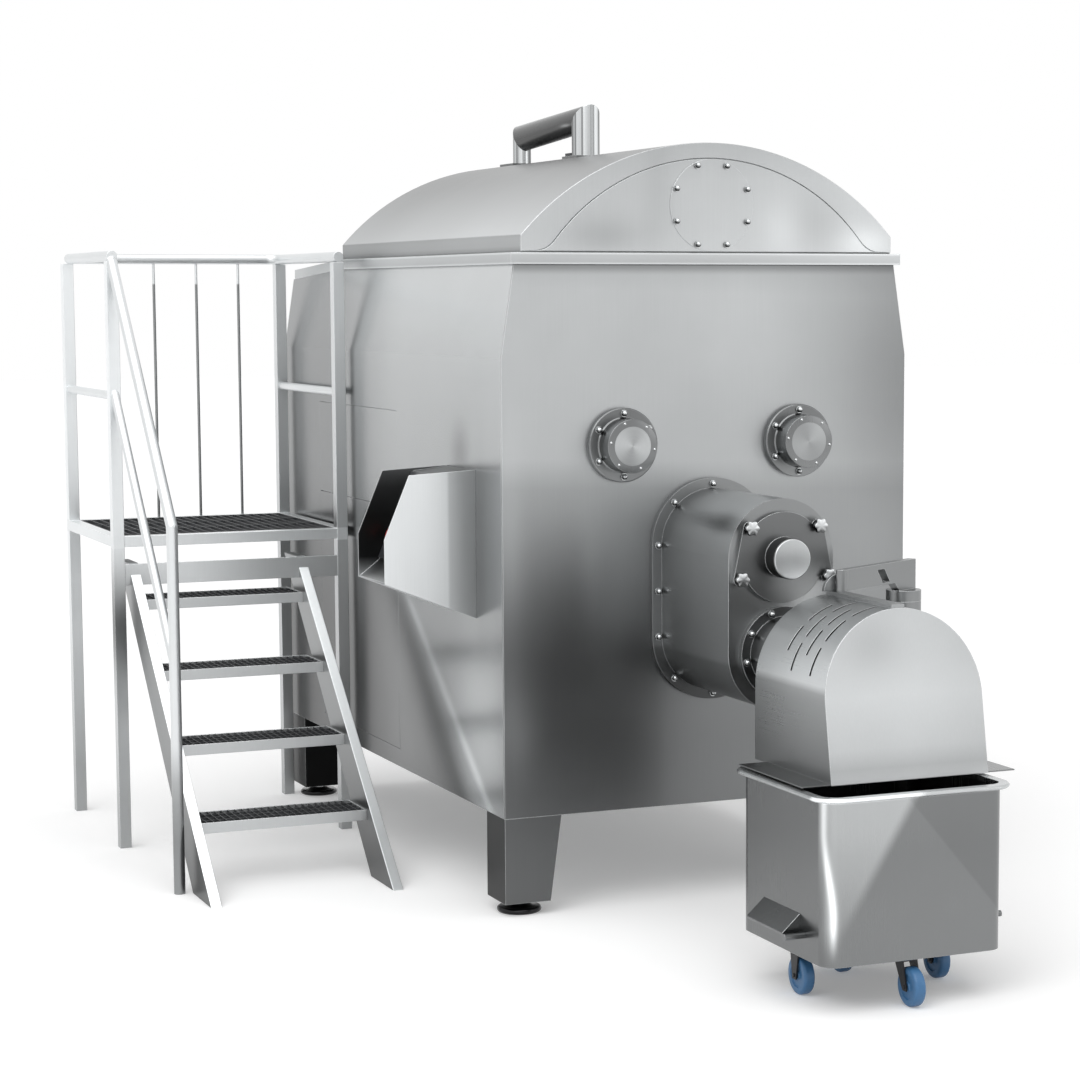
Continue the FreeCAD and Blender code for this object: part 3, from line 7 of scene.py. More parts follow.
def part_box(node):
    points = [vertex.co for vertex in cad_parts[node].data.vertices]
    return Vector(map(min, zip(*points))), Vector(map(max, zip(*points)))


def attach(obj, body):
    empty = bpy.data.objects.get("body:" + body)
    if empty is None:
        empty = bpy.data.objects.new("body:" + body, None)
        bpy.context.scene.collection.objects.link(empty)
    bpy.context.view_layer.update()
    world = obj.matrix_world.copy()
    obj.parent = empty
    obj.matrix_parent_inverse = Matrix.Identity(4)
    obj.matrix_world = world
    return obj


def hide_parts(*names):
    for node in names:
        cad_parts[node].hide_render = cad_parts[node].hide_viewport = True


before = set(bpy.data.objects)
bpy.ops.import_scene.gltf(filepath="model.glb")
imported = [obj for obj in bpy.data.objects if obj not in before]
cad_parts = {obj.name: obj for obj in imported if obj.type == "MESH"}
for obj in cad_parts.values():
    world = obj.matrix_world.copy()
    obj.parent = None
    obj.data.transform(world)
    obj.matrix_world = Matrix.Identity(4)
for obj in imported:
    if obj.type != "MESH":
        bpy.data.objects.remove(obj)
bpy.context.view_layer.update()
print("frame loaded:", len(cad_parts), "nodes")

# The machine's own axes: x from its middle plane, y from the front plate's face, z from the floor.
plateLow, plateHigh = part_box("front_plate")
middleX = (plateLow.x + plateHigh.x) / 2
faceY = plateLow.y


def at(x, y, z):
    return Vector((middleX + x, faceY + y, z))


# Node values and links for procedural materials

class Wire:
    # one output socket; arithmetic on it adds Math nodes
    def __init__(self, board, socket):
        self.board, self.socket = board, socket

    def __add__(self, other):
        return self.board.calc("ADD", self, other)

    __radd__ = __add__

    def __sub__(self, other):
        return self.board.calc("SUBTRACT", self, other)

    def __rsub__(self, other):
        return self.board.calc("SUBTRACT", other, self)

    def __mul__(self, other):
        return self.board.calc("MULTIPLY", self, other)

    __rmul__ = __mul__

    def __truediv__(self, other):
        return self.board.calc("DIVIDE", self, other)

    def clamped(self, low, high):
        return self.board.add("ShaderNodeMapRange", {"clamp": True},
                              {"Value": self, "From Min": low, "From Max": high})


class Board:
    # the node tree of one material with its Principled shader
    def __init__(self, name):
        self.material = bpy.data.materials.new(name)
        self.material.use_nodes = True
        self.tree = self.material.node_tree
        self.shader = self.tree.nodes["Principled BSDF"]
        here = self.add("ShaderNodeTexCoord", output="Object")
        self.place = self.add("ShaderNodeMapping", {"vector_type": "POINT"},
                              {"Vector": here, "Location": tuple(-at(0, 0, 0))})

    def add(self, kind, settings=None, inputs=None, output=0):
        node = self.tree.nodes.new(kind)
        for key, value in (settings or {}).items():
            if key == "stops":
                self.setStops(node.color_ramp, value)
            else:
                setattr(node, key, value)
        for key, value in (inputs or {}).items():
            self.feed(node.inputs[key], value)
        return Wire(self, node.outputs[output])

    def calc(self, operation, first, second=0.0):
        return self.add("ShaderNodeMath", {"operation": operation}, {0: first, 1: second})

    def dot(self, first, second):
        return self.add("ShaderNodeVectorMath", {"operation": "DOT_PRODUCT"}, {0: first, 1: second}, "Value")

    def feed(self, socket, value):
        if isinstance(value, Wire):
            self.tree.links.new(value.socket, socket)
        else:
            socket.default_value = value

    def setStops(self, ramp, stops):
        while len(ramp.elements) < len(stops):
            ramp.elements.new(1.0)
        for element, (position, colour) in zip(ramp.elements, stops):
            element.position = position
            element.color = (*colour, 1)

    def set(self, **values):
        for key, value in values.items():
            self.feed(self.shader.inputs[key.replace("_", " ")], value)

    def stretched(self, scale, turn=(0, 0, 0), centre=(0, 0, 0)):
        # Object coordinates centred on a point, turned and scaled per axis
        moved = self.add("ShaderNodeMapping", {"vector_type": "POINT"},
                         {"Vector": self.place, "Location": tuple(-c for c in centre)})
        return self.add("ShaderNodeMapping", {"vector_type": "POINT"},
                        {"Vector": moved, "Rotation": turn, "Scale": scale})

    def along(self, direction):
        # distance along a direction from the machine's own zero
        return self.dot(self.place, direction)

    def across(self):
        return self.along((1, 0, 0))

    def depth(self):
        return self.along((0, 1, 0))

    def height(self):
        return self.along((0, 0, 1))

    def bell(self, value, centre, width):
        away = (value - centre) / width
        return self.calc("EXPONENT", 0.0 - away * away)

    def cloud(self, centre, radii):
        # 1 in the middle of a soft ellipsoid, falling to nothing outside it
        moved = self.stretched(tuple(1 / r for r in radii), centre=centre)
        return self.calc("EXPONENT", 0.0 - self.dot(moved, moved))

    def slope(self, value, start, end):
        # 0 before the start and 1 after the end, smooth between them
        return self.add("ShaderNodeMapRange", {"interpolation_type": "SMOOTHSTEP"},
                        {"Value": value, "From Min": start, "From Max": end})

    def ramp(self, value, stops):
        # tone stops (place, display level) read at a value
        first, last = stops[0][0], stops[-1][0]
        share = (value - first) / (last - first)
        return self.add("ShaderNodeValToRGB", {"stops": [((p - first) / (last - first), (shade(v),) * 3)
                                                         for p, v in stops]}, {0: share})

    def angleRound(self, centre, ahead, side):
        # degrees round an axis, 0 towards `ahead` and positive towards `side`
        moved = self.stretched((1, 1, 1), centre=centre)
        return self.calc("ARCTAN2", self.dot(moved, side), self.dot(moved, ahead)) * (180 / math.pi)

    def noise(self, vector, scale=1.0, detail=2.0, roughness=0.5):
        return self.add("ShaderNodeTexNoise", {"noise_dimensions": "3D"},
                        {"Vector": vector, "Scale": scale, "Detail": detail, "Roughness": roughness})

    def blend(self, factor, first, second):
        return self.add("ShaderNodeMix", {"data_type": "RGBA"},
                        {0: factor, 6: (*first, 1) if isinstance(first, tuple) else first,
                         7: (*second, 1) if isinstance(second, tuple) else second}, output=2)


def scaled(colour, factor):
    return tuple(min(1.0, c * factor) for c in colour)


def shade(level):
    # a display level of 0 to 255 as a linear tone
    return ((level / 255 + 0.055) / 1.055) ** 2.4


steelTint = (0.965, 0.99, 1.0)
steelFinish = {"haze": 0.05, "streak": 0.03, "smudge": 0.04, "edgeGlow": 1.2, "edgeWidth": 0.003, "bump": 0.04}


def brushedSteel(name, tone, rough=0.28, grain="z", finish=None):
    # stainless sheet: `tone` paints the broad reflections and shade of the sheet on a board, and fine brush
    # lines, faint haze, hand-wide smudges and a painted highlight along the edges come on top
    look = dict(steelFinish, **(finish or {}))
    board = Board(name)
    thin, long = 420.0, 3.0
    scale = {"x": (long, thin, thin), "y": (thin, long, thin), "z": (thin, thin, long)}[grain]
    streak = board.noise(board.stretched(scale), 1.0, 3.0, 0.6)
    haze = board.noise(board.stretched((1.1, 1.1, 0.7)), 1.0, 2.0, 0.45)
    smudge = board.noise(board.place, 5.0, 3.0, 0.55)
    level = tone(board) * (1.0 + (haze - 0.5) * (look["haze"] * 4) + (streak - 0.5) * (look["streak"] * 3)
                           + (smudge - 0.5) * (look["smudge"] * 2))
    # painted highlight: the sheet is brightened along edges, where the bevelled normal turns from the true one
    soft = board.add("ShaderNodeBevel", {"samples": 6}, {"Radius": look["edgeWidth"]})
    turn = board.dot(soft, board.add("ShaderNodeNewGeometry", output="Normal"))
    level = (level + (1.0 - turn) * look["edgeGlow"]).clamped(0.0, 1.0)
    board.set(Base_Color=board.blend(level, (0.0, 0.0, 0.0), steelTint), Metallic=1.0,
              Roughness=(rough - 0.05) + streak * 0.05 + smudge * 0.06)
    board.set(Normal=board.add("ShaderNodeBump", None, {"Strength": look["bump"], "Distance": 0.0004,
                                                        "Height": streak, "Normal": soft}))
    return board.material


def turnedSteel(name, level, centreX, centreZ, rough=0.26):
    # lathe-faced discs on both sides of the middle plane: fine rings and a painted bow-tie sheen of turning
    board = Board(name)
    axes = board.tree.nodes.new("ShaderNodeSeparateXYZ")
    board.feed(axes.inputs[0], board.stretched((1, 1, 1), centre=(0, 0, centreZ)))
    x = board.calc("ABSOLUTE", Wire(board, axes.outputs["X"])) - centreX
    z = Wire(board, axes.outputs["Z"])
    radius = board.calc("SQRT", x * x + z * z)
    angle = board.calc("ARCTAN2", z, x)
    rings = board.calc("SINE", radius * 2600.0)
    track = board.add("ShaderNodeCombineXYZ", None, {0: radius * 300.0})
    uneven = board.noise(track, 1.0, 2.0)
    sheen = board.calc("SINE", angle * 2.0 + 0.9)
    soft = board.add("ShaderNodeBevel", {"samples": 6}, {"Radius": 0.003})
    tone = sheen * 0.25 + uneven * 0.3 + rings * 0.04 + 0.35
    # painted shade: the cap right of the middle is darker
    tone = tone * (1.0 - board.slope(board.across(), 0, 0.2) * 0.6)
    board.set(Base_Color=board.blend(tone.clamped(0.0, 1.0), scaled(steelTint, level * 0.6),
                                     scaled(steelTint, level * 1.25)),
              Metallic=1.0, Roughness=rough + uneven * 0.1)
    board.set(Normal=board.add("ShaderNodeBump", None, {"Strength": 0.2, "Distance": 0.0003, "Height": rings,
                                                        "Normal": soft}))
    return board.material


def paintedPart(name, colour, rough=0.45, metallic=0.0, speckle=900.0, strength=0.08, coat=0.0, edge=0.002):
    # an even coat or moulding with a fine grain, slight tone changes and soft edges
    board = Board(name)
    grain = board.noise(board.place, speckle, 2.0, 0.6)
    patch = board.noise(board.place, 9.0, 3.0, 0.5)
    soft = board.add("ShaderNodeBevel", {"samples": 4}, {"Radius": edge})
    board.set(Base_Color=board.blend((patch * 0.7 + grain * 0.3).clamped(0.3, 0.7), scaled(colour, 0.82),
                                     scaled(colour, 1.18)), Roughness=(rough - 0.06) + patch * 0.12)
    board.set(Normal=board.add("ShaderNodeBump", None, {"Strength": strength, "Distance": 0.0004,
                                                        "Height": grain, "Normal": soft}))
    board.set(Metallic=metallic, Coat_Weight=coat)
    return board.material


def evenly(level):
    # the same tone all over
    return lambda board: board.ramp(board.height(), [(0.0, level), (3.0, level)])


def upwards(*stops):
    # tone stops by height: painted light and shade that change upwards
    return lambda board: board.ramp(board.height(), stops)


def underRim(board, tone):
    # the narrow shade that the hopper's rim throws on the sheet below it
    height = board.height()
    return (tone * (1.0 - board.slope(height, 2.262, 2.296) * 0.38)
            * (1.0 - board.slope(height, 2.296, 2.302) * 0.5))


def platePaintedLight(board):
    # front plate, painted reflections and shade: bright above, dark towards the floor,
    # clouds left of the outlet and below it
    tone = board.ramp(board.along((0.03, 0, 1)),
                      [(0.33, 120), (0.6, 118), (0.9, 124), (1.15, 140), (1.35, 155), (1.50, 164),
                       (1.60, 184), (1.9, 184), (2.2, 186), (2.34, 172)])
    for centre, radii, gain in (((0.88, 0, 1.90), (0.46, 1, 0.80), -0.50),
                                ((0.15, 0, 2.1), (0.22, 1, 0.4), 0.06),
                                ((0.0, 0, 1.72), (0.25, 1, 0.16), -0.08),
                                ((0.70, 0, 1.15), (0.25, 1, 0.35), 0.35),
                                ((-0.60, 0, 0.93), (0.17, 1, 0.30), -0.34),
                                ((-0.47, 0, 1.20), (0.05, 1, 0.18), 0.16),
                                ((-0.28, 0, 0.95), (0.10, 1, 0.18), -0.32),
                                ((-0.33, 0, 0.58), (0.14, 1, 0.26), -0.30),
                                ((-0.76, 0, 0.68), (0.08, 1, 0.17), 0.75),
                                ((-0.77, 0, 1.25), (0.05, 1, 0.30), 0.25)):
        tone = tone * (1.0 + board.cloud(centre, radii) * gain)
    below = board.slope(board.height(), 0.95, 0.75)
    tone = tone * (1.0 + board.slope(board.across(), -0.22, -0.16) * below * 0.10)
    return underRim(board, tone)


def wallPaintedLight(board):
    # side walls, painted reflections and shade: bright above, darker below and to the back,
    # with a bright and a dark slanting band of painted reflection
    height, depth = board.height(), board.depth()
    tone = board.ramp(height, [(0.35, 112), (0.6, 114), (0.9, 126), (1.2, 152), (1.5, 172), (1.75, 180),
                               (1.95, 190), (2.1, 200), (2.3, 204)])
    low = board.slope(height, 1.45, 0.95)
    tone = tone * (1.0 - board.slope(depth, 1.0, 2.2) * 0.48) * (1.0 - board.slope(depth, 1.05, 1.6) * low * 0.42)
    # painted light low at the front, the console's painted shadow above it and painted shade beside it
    for centre, radii, gain in (((-0.8, 0.20, 0.60), (1, 0.30, 0.34), 1.9),
                                ((-0.8, 0.43, 1.63), (1, 0.09, 0.10), -0.35),
                                ((-0.8, 0.22, 1.3), (1, 0.05, 0.35), -0.12)):
        tone = tone * (1.0 + board.cloud(centre, radii) * gain)
    below = board.slope(height, 1.10, 1.0)
    bright = board.bell(board.along((0, 0.606, -0.795)), -0.196, 0.028)
    dark = board.bell(board.along((0, 0.682, -0.731)), 0.040, 0.075)
    return tone * (1.0 + bright * below * 0.60) * (1.0 - dark * below * 0.42)


def legPaintedShade(board):
    # painted shade: the legs' forward faces are mid grey, their other faces painted nearly black as shade
    return board.blend(board.slope(board.depth(), 0.001, 0.004),
                       board.ramp(board.height(), [(0.04, 106), (0.36, 116)]), (0.010, 0.011, 0.014))


def lidPaintedLight(board):
    # arched lid, painted reflections: darker along the crest, light on the flank,
    # a mid band on the upright skirt
    height = board.height()
    tone = board.ramp(height, [(2.345, 128), (2.352, 150), (2.365, 168), (2.39, 170), (2.402, 166),
                               (2.406, 206), (2.5, 186), (2.62, 152), (2.70, 130), (2.735, 116)])
    return tone * (1.0 - board.slope(board.depth(), 0.2, 2.0) * 0.22)


def lidFacePaintedLight(board):
    # lid's front, painted reflections and shade: light, with a dark cloud low on the left and a bright one
    # right of the cover plate
    tone = board.ramp(board.height(), [(2.34, 196), (2.42, 192), (2.6, 186), (2.73, 174)])
    for centre, radii, gain in (((-0.42, 0, 2.40), (0.16, 1, 0.07), -0.22),
                                ((-0.22, 0, 2.55), (0.06, 1, 0.18), -0.10),
                                ((0.62, 0, 2.38), (0.10, 1, 0.06), 0.30),
                                ((0.28, 0, 2.42), (0.08, 1, 0.10), 0.15),
                                ((0.42, 0, 2.46), (0.10, 1, 0.12), -0.12)):
        tone = tone * (1.0 + board.cloud(centre, radii) * gain)
    return tone


def housingPaintedLight(board):
    # outlet housing, painted reflections and shade: upright bands on its flank, dark from the lower round
    # downwards
    height, depth = board.height(), board.depth()
    flank = board.ramp(depth, [(-0.58, 196), (-0.50, 194), (-0.30, 180), (-0.12, 150), (-0.03, 140),
                               (0.0, 134)])
    tone = flank * (1.0 - board.slope(height, 0.955, 0.93) * 0.30)
    tone = tone * (1.0 - board.slope(height, 0.90, 0.78) * 0.60)
    tone = tone * (1.0 - board.cloud((-0.17, -0.47, 1.42), (0.09, 0.09, 0.035)) * 0.45)
    # painted shade: the flat end darkens above, where it stands round the cover plate
    end = board.slope(depth, -0.570, -0.574)
    top = board.slope(height, 1.28, 1.42)
    return tone * (1.0 - end * top * 0.50) * (1.0 - end * (1.0 - top) * 0.10)


def coverPaintedLight(board):
    # cover plate, painted light and shade: lighter at the bottom, its boss light in front and dark round
    # its side
    tone = board.ramp(board.height(), [(1.14, 164), (1.22, 148), (1.38, 117), (1.48, 118)])
    depth, face = board.depth(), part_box("outlet_cover")[0].y - faceY
    boss = board.slope(depth, face + 0.0032, face + 0.0004)
    side = board.slope(depth, face + 0.066, face + 0.060)
    tone = tone * (1.0 - side * (1.0 - boss) * 0.55)
    tone = tone * (1.0 - board.cloud((-0.075, -0.6, 1.27), (0.04, 0.05, 0.07)) * 0.45)
    return tone * (1.0 + boss * 2.2)


def hoodPaintedLight(board):
    # guard hood, painted reflections: a bright line along the spring of the arch, darker below and mid above
    height = board.height()
    tone = board.ramp(height, [(0.68, 128), (0.75, 134), (0.88, 158), (0.96, 172), (0.985, 226), (1.02, 222),
                               (1.10, 206), (1.19, 180), (1.22, 165)])
    tone = tone * (1.0 - board.slope(board.depth(), -1.35, -0.98) * 0.12)
    # its inner side is painted near black as shade: `reach` is the distance from the arch's axis, and below
    # its spring from the middle
    across = board.across()
    rise = board.calc("MAXIMUM", height - 0.937)
    reach = board.calc("SQRT", across * across + rise * rise)
    return board.blend(board.slope(reach, 0.2788, 0.2794), (0.004, 0.004, 0.005), tone)


def hoodFrontPaintedLight(board):
    # hood's front plate, painted reflections: light, with a soft cloud and a slow fall to the right
    tone = board.ramp(board.height(), [(0.68, 198), (0.73, 180), (0.79, 196), (0.95, 206), (1.05, 200),
                                               (1.22, 192)])
    return (tone * (1.0 - board.cloud((-0.10, -1.4, 1.10), (0.10, 1, 0.08)) * 0.14)
            * (1.0 - board.slope(board.across(), 0.0, 0.28) * 0.14))


def trolleyPaintedLight(board):
    # bin, painted reflections: a bright wavy highlight down its front corner, a light patch beside it and a
    # peak-shaped mid tone
    height, across, depth = board.height(), board.across(), board.depth()
    tone = board.ramp(height, [(0.15, 120), (0.3, 120), (0.5, 118), (0.66, 122), (0.667, 176), (0.682, 196)])
    front = board.slope(depth, -1.60, -1.63)
    left = board.slope(across + (0.649 - height) * 0.617, -0.055, -0.11)
    right = board.slope(across - (0.596 - height) * 0.856, -0.045, -0.03)
    light = front * left * board.slope(height, 0.10, 0.60)
    tone = tone * (1.0 + light * 1.05) * (1.0 + front * 0.18) * (1.0 - front * right * 0.12)
    turn = board.angleRound((-0.322, -1.58, 0), (0, -1, 0), (-1, 0, 0))
    lean = turn - board.slope(height, 0.30, 0.58) * 36.0
    corner = board.slope(depth, -1.57, -1.585) * board.slope(across, -0.31, -0.325)
    line = board.bell(lean, 30.0, 11.0) + board.bell(lean, 44.0, 26.0) * 0.25
    return tone * (1.0 + corner * line * board.slope(height, 0.16, 0.30) * 2.6)


def domePaintedShading(board):
    # small polished heads, painted shading by facing: dark under and beside, light above and in front
    facing = board.dot(board.add("ShaderNodeNewGeometry", output="Normal"), (-0.10, -0.74, 0.66))
    return board.ramp(facing, [(-1.0, 26), (-0.2, 40), (0.25, 80), (0.55, 150), (0.72, 196), (0.86, 222),
                               (1.0, 244)])


def bowPaintedReflections(board):
    # polished posts of the lid's handle, painted reflections: upright light and dark lines, wider on the
    # front one
    lines = {"front": [(-180, 150), (-125, 170), (-90, 60), (-75, 98), (-62, 112), (-57, 188), (-53, 188),
                       (-49, 154), (-43, 126), (-39, 218), (-30, 212), (-18, 205), (-16, 142), (-10, 140),
                       (-7, 226), (4, 216), (14, 200), (20, 194), (23, 158), (28, 156), (32, 134), (38, 128),
                       (42, 240), (55, 236), (63, 192), (72, 80), (90, 70), (125, 165), (180, 150)],
             "back": [(-180, 150), (-90, 118), (-64, 148), (-52, 196), (-41, 195), (-33, 127), (-25, 160),
                      (-18, 186), (-11, 216), (2, 222), (8, 150), (15, 198), (30, 208), (38, 158), (47, 122),
                      (58, 90), (75, 108), (180, 150)]}
    reflectionStripes = [board.ramp(board.angleRound((0, bowShape[post], 0), (-0.407, -0.914, 0), (0.914, -0.407, 0)),
                          stops) for post, stops in lines.items()]
    return board.blend(board.slope(board.depth(), 1.49, 1.50), *reflectionStripes)


def bowBarPaintedReflections(board):
    # the handle's bar, painted reflections: light along its top, near black below its middle, a painted gleam
    # by the front post
    b = bowShape
    fall = (b["frontHeight"] - b["backHeight"]) / (b["back"] - b["front"])
    above = board.along((0, fall, 1)) - (b["frontHeight"] + fall * b["front"])
    tone = board.ramp(above, [(-0.055, 18), (-0.050, 40), (-0.012, 42), (-0.004, 50), (0.002, 60), (0.018, 68),
                              (0.030, 80), (0.040, 106), (0.047, 150), (0.053, 225)])
    gleam = board.cloud((-0.05, b["front"] + 0.09, b["frontHeight"] - 0.022), (0.1, 0.05, 0.006))
    return tone * (1.0 + gleam * 9.0)


def railPaintedLight(board):
    # platform posts and beams, painted light and shade: the outer posts light, those by the casing greyer,
    # the deck's frame light
    height, across = board.height(), board.across()
    outer = board.ramp(height, [(0.0, 168), (0.2, 176), (0.8, 226), (1.2, 238), (2.4, 246)])
    outer = outer * (1.0 - board.cloud((-1.76, 1.76, 0.90), (0.2, 0.2, 0.22)) * 0.80)
    inner = board.ramp(height, [(0.0, 168), (0.45, 184), (0.9, 186), (1.45, 206), (2.05, 222), (2.4, 226)])
    tone = board.blend(board.slope(across, -1.1, -1.7), inner, outer)
    deck = board.slope(height, 1.200, 1.206) * board.slope(height, 1.256, 1.250)
    return board.blend(deck, tone, (0.80, 0.80, 0.80))


def tubePaintedLight(board):
    # rails, painted light and shade: nearly white, darker low down; the thin bars behind are grey
    height, depth, across = board.height(), board.depth(), board.across()
    tone = board.ramp(height, [(0.0, 150), (0.2, 142), (0.33, 157), (0.42, 176), (0.5, 205), (0.56, 222),
                               (0.75, 226), (2.4, 226)])
    bars = board.slope(depth, 2.55, 2.56) * board.slope(height, 2.25, 2.24)
    bars = bars * board.slope(across, -1.71, -1.70)
    return tone * (1.0 - bars * board.slope(across, -0.90, -0.91) * 0.62)


def stringerPaintedLight(board):
    # stringers, painted light and shade: their front faces catch the light, the outer one most; their sides
    # stay in shade
    height, across = board.height(), board.across()
    side = board.ramp(height, [(0.0, 84), (0.15, 104), (0.5, 140), (1.15, 158)])
    inner = board.ramp(height, [(0.0, 214), (0.5, 208), (1.15, 232)])
    outer = board.ramp(height, [(0.0, 246), (1.15, 236)])
    front = board.blend(board.slope(across, -1.0, -1.4), inner, outer)
    away = board.along((0, -stringer["normal"][1], stringer["normal"][0]))
    return board.blend(board.slope(away, stringer["front"] - 0.004, stringer["front"] - 0.001), side, front)


def consolePaintedLight(board):
    # cheeks, painted light and shade: very light, a grey band beside the wall; their inner faces fall to
    # near black, painted as shade
    across, depth = board.across(), board.depth()
    tone = board.ramp(across, [(-1.15, 234), (-0.99, 230), (-0.905, 222), (-0.895, 196), (-0.84, 178),
                               (-0.79, 168)])
    inner = board.slope(depth, 0.2745, 0.276) * board.slope(depth, 0.5785, 0.577)
    dark = board.ramp(board.height(), [(1.05, 200), (1.17, 190), (1.25, 50), (1.4, 60), (1.5, 84),
                                               (1.58, 120)])
    return board.blend(inner, tone, dark)


# Shapes that both looks and pieces read: the lid's handle, the stringers and the bearings' middle

bowShape = {"front": 1.150, "back": 1.846, "frontHeight": 2.8845, "backHeight": 2.846, "frontRadius": 0.055,
            "backHalves": (0.036, 0.046), "barHalf": 0.053, "foot": 2.7285, "padReach": 0.072, "padRise": 0.011,
            "block": (0.023, 1.249, 1.309, 2.757)}

stringer = {"footFront": 0.575, "topFront": 1.790, "footDepth": 0.27, "topDepth": 0.17, "width": 0.040}
stringerLow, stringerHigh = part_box("stair_stringers")
stringer["rise"] = stringerHigh.z
stringerRun = stringer["topFront"] - stringer["footFront"]
stringerLength = math.hypot(stringerRun, stringer["rise"])
stringer["normal"] = (stringerRun / stringerLength, stringer["rise"] / stringerLength)
stringer["front"] = -stringer["footFront"] * stringer["normal"][1]

bearingMiddle = (0.347, 1.667)

# the tones given to brushedSteel paint reflections, highlights and shade into the steel's colour; `evenly` gives
# one level
looks = {
    "plate": brushedSteel("frontSteel", platePaintedLight, 0.34),
    "wall": brushedSteel("wallSteel", wallPaintedLight, 0.24),
    # rear cover: painted shade, darker towards the floor
    "rear": brushedSteel("rearSteel", upwards((0.35, 120), (1.3, 160), (2.3, 196)), 0.32),
    "leg": brushedSteel("legSteel", legPaintedShade, 0.36),
    # rim: painted highlights along its edges and a painted dark line at its foot
    "rim": brushedSteel("rimSteel", upwards((2.300, 150), (2.304, 214), (2.310, 182), (2.334, 190),
                                            (2.338, 214), (2.342, 214)), 0.30, "x"),
    "lid": brushedSteel("lidSteel", lidPaintedLight, 0.32, "y"),
    "lidFace": brushedSteel("lidFaceSteel", lidFacePaintedLight, 0.34),
    "housing": brushedSteel("housingSteel", housingPaintedLight, 0.30, "y", {"edgeGlow": 0.12}),
    "cover": brushedSteel("coverSteel", coverPaintedLight, 0.30, "z", {"edgeGlow": 1.6}),
    "flange": brushedSteel("flangeSteel", upwards((1.53, 136), (1.8, 118)), 0.28),
    "neck": brushedSteel("neckSteel", evenly(118), 0.28, "y"),
    "hood": brushedSteel("hoodSteel", hoodPaintedLight, 0.28, "y", {"edgeGlow": 0.15}),
    "hoodFront": brushedSteel("hoodFrontSteel", hoodFrontPaintedLight, 0.38),
    "arm": brushedSteel("armSteel", evenly(138), 0.30, "x"),
    "trolley": brushedSteel("trolleySteel", trolleyPaintedLight, 0.26),
    "rail": brushedSteel("railSteel", railPaintedLight, 0.34),
    "tube": brushedSteel("tubeSteel", tubePaintedLight, 0.34),
    "stringer": brushedSteel("stringerSteel", stringerPaintedLight, 0.34),
    "stair": brushedSteel("stairSteel", upwards((0.0, 196), (1.2, 206)), 0.36),
    "inside": brushedSteel("insideSteel", evenly(170), 0.34, "y"),
    "shaft": brushedSteel("shaftSteel", evenly(182), 0.28, "y"),
    "console": brushedSteel("consoleSteel", consolePaintedLight, 0.34, "z"),
    "bolt": brushedSteel("boltSteel", domePaintedShading, 0.20, "y", {"edgeWidth": 0.001, "edgeGlow": 0.3}),
    "knobSteel": brushedSteel("starSteel", domePaintedShading, 0.30, "z", {"edgeWidth": 0.0015}),
    "bow": brushedSteel("bowSteel", bowPaintedReflections, 0.22, "z", {"haze": 0.0, "edgeGlow": 0.2}),
    "bowBar": brushedSteel("bowBarSteel", bowBarPaintedReflections, 0.26, "y", {"haze": 0.0, "edgeGlow": 0.2}),
    "dark": paintedPart("blockDark", (0.035, 0.037, 0.042), 0.5),
    "cap": turnedSteel("turnedCapSteel", 0.46, *bearingMiddle),
    "grating": paintedPart("gratingSteel", (0.075, 0.078, 0.082), 0.5, metallic=0.6),
    "foot": paintedPart("footBlack", (0.012, 0.012, 0.013), 0.22, metallic=0.5),
    "fork": paintedPart("forkBlack", (0.02, 0.02, 0.022), 0.42, metallic=0.3),
    "blue": paintedPart("treadBlue", (0.05, 0.16, 0.33), 0.42, coat=0.1),
    "seal": paintedPart("sealRubber", (0.30, 0.31, 0.31), 0.6),
    "drive": paintedPart("drivePaint", (0.20, 0.22, 0.24), 0.45),
    "panel": paintedPart("panelDark", (0.035, 0.036, 0.04), 0.3, coat=0.3),
    "green": paintedPart("buttonGreen", (0.03, 0.32, 0.10), 0.3, coat=0.3),
    "red": paintedPart("buttonRed", (0.55, 0.02, 0.015), 0.3, coat=0.3),
    "knob": paintedPart("knobBlack", (0.02, 0.02, 0.02), 0.4),
}

nodeLooks = {
    "front_plate": "plate", "left_wall": "wall", "right_wall": "wall", "rear_cover": "rear",
    "service_panels": "wall", "base_frame": "inside", "bulkhead": "inside", "hopper_rim": "rim",
    "mixing_trough": "inside", "worm_channel": "inside", "lid_shell": "lid", "lid_front": "lidFace",
    "lid_port": "lidFace", "legs": "leg", "console_housing": "console", "outlet_housing": "housing",
    "outlet_cover": "cover", "outlet_neck": "neck", "hood_shell": "hood", "hood_front": "hoodFront",
    "swing_arm": "arm", "hood_hinge_post": "arm", "trolley_bin": "trolley", "lifting_lugs": "trolley",
    "shaft_bearings": "cap", "platform_frame": "rail", "guard_rails": "tube", "stair_stringers": "stringer",
    "mixing_shaft_left": "shaft", "mixing_shaft_right": "shaft", "feed_worm": "shaft", "main_worm": "shaft",
    "ring_nut": "neck", "pre_cutter": "shaft", "knife": "shaft", "hole_plate": "shaft",
    "lid_hinge_bases": "rim", "lid_hinge_leaves": "rim", "front_bolts": "bolt", "cover_star_bolts": "bolt",
    "port_bolts": "bolt", "lid_bow": "bow", "lid_seal": "seal", "worm_drive": "drive",
    "mixer_drives": "drive", "deck_grating": "grating", "stair_treads": "grating", "levelling_feet": "foot",
    "wheel_brackets": "fork", "castor_fork_front": "fork", "castor_fork_back": "fork",
    "side_wheel_left": "blue", "side_wheel_right": "blue", "castor_wheel_front": "blue",
    "castor_wheel_back": "blue", "console_panel": "panel", "start_button": "green", "stop_button": "red",
    "emergency_stop": "red", "selector_switch": "knob",
}
for node, look in nodeLooks.items():
    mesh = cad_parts[node].data
    mesh.materials.clear()
    mesh.materials.append(looks[look])
print("materials on", len(nodeLooks), "nodes")


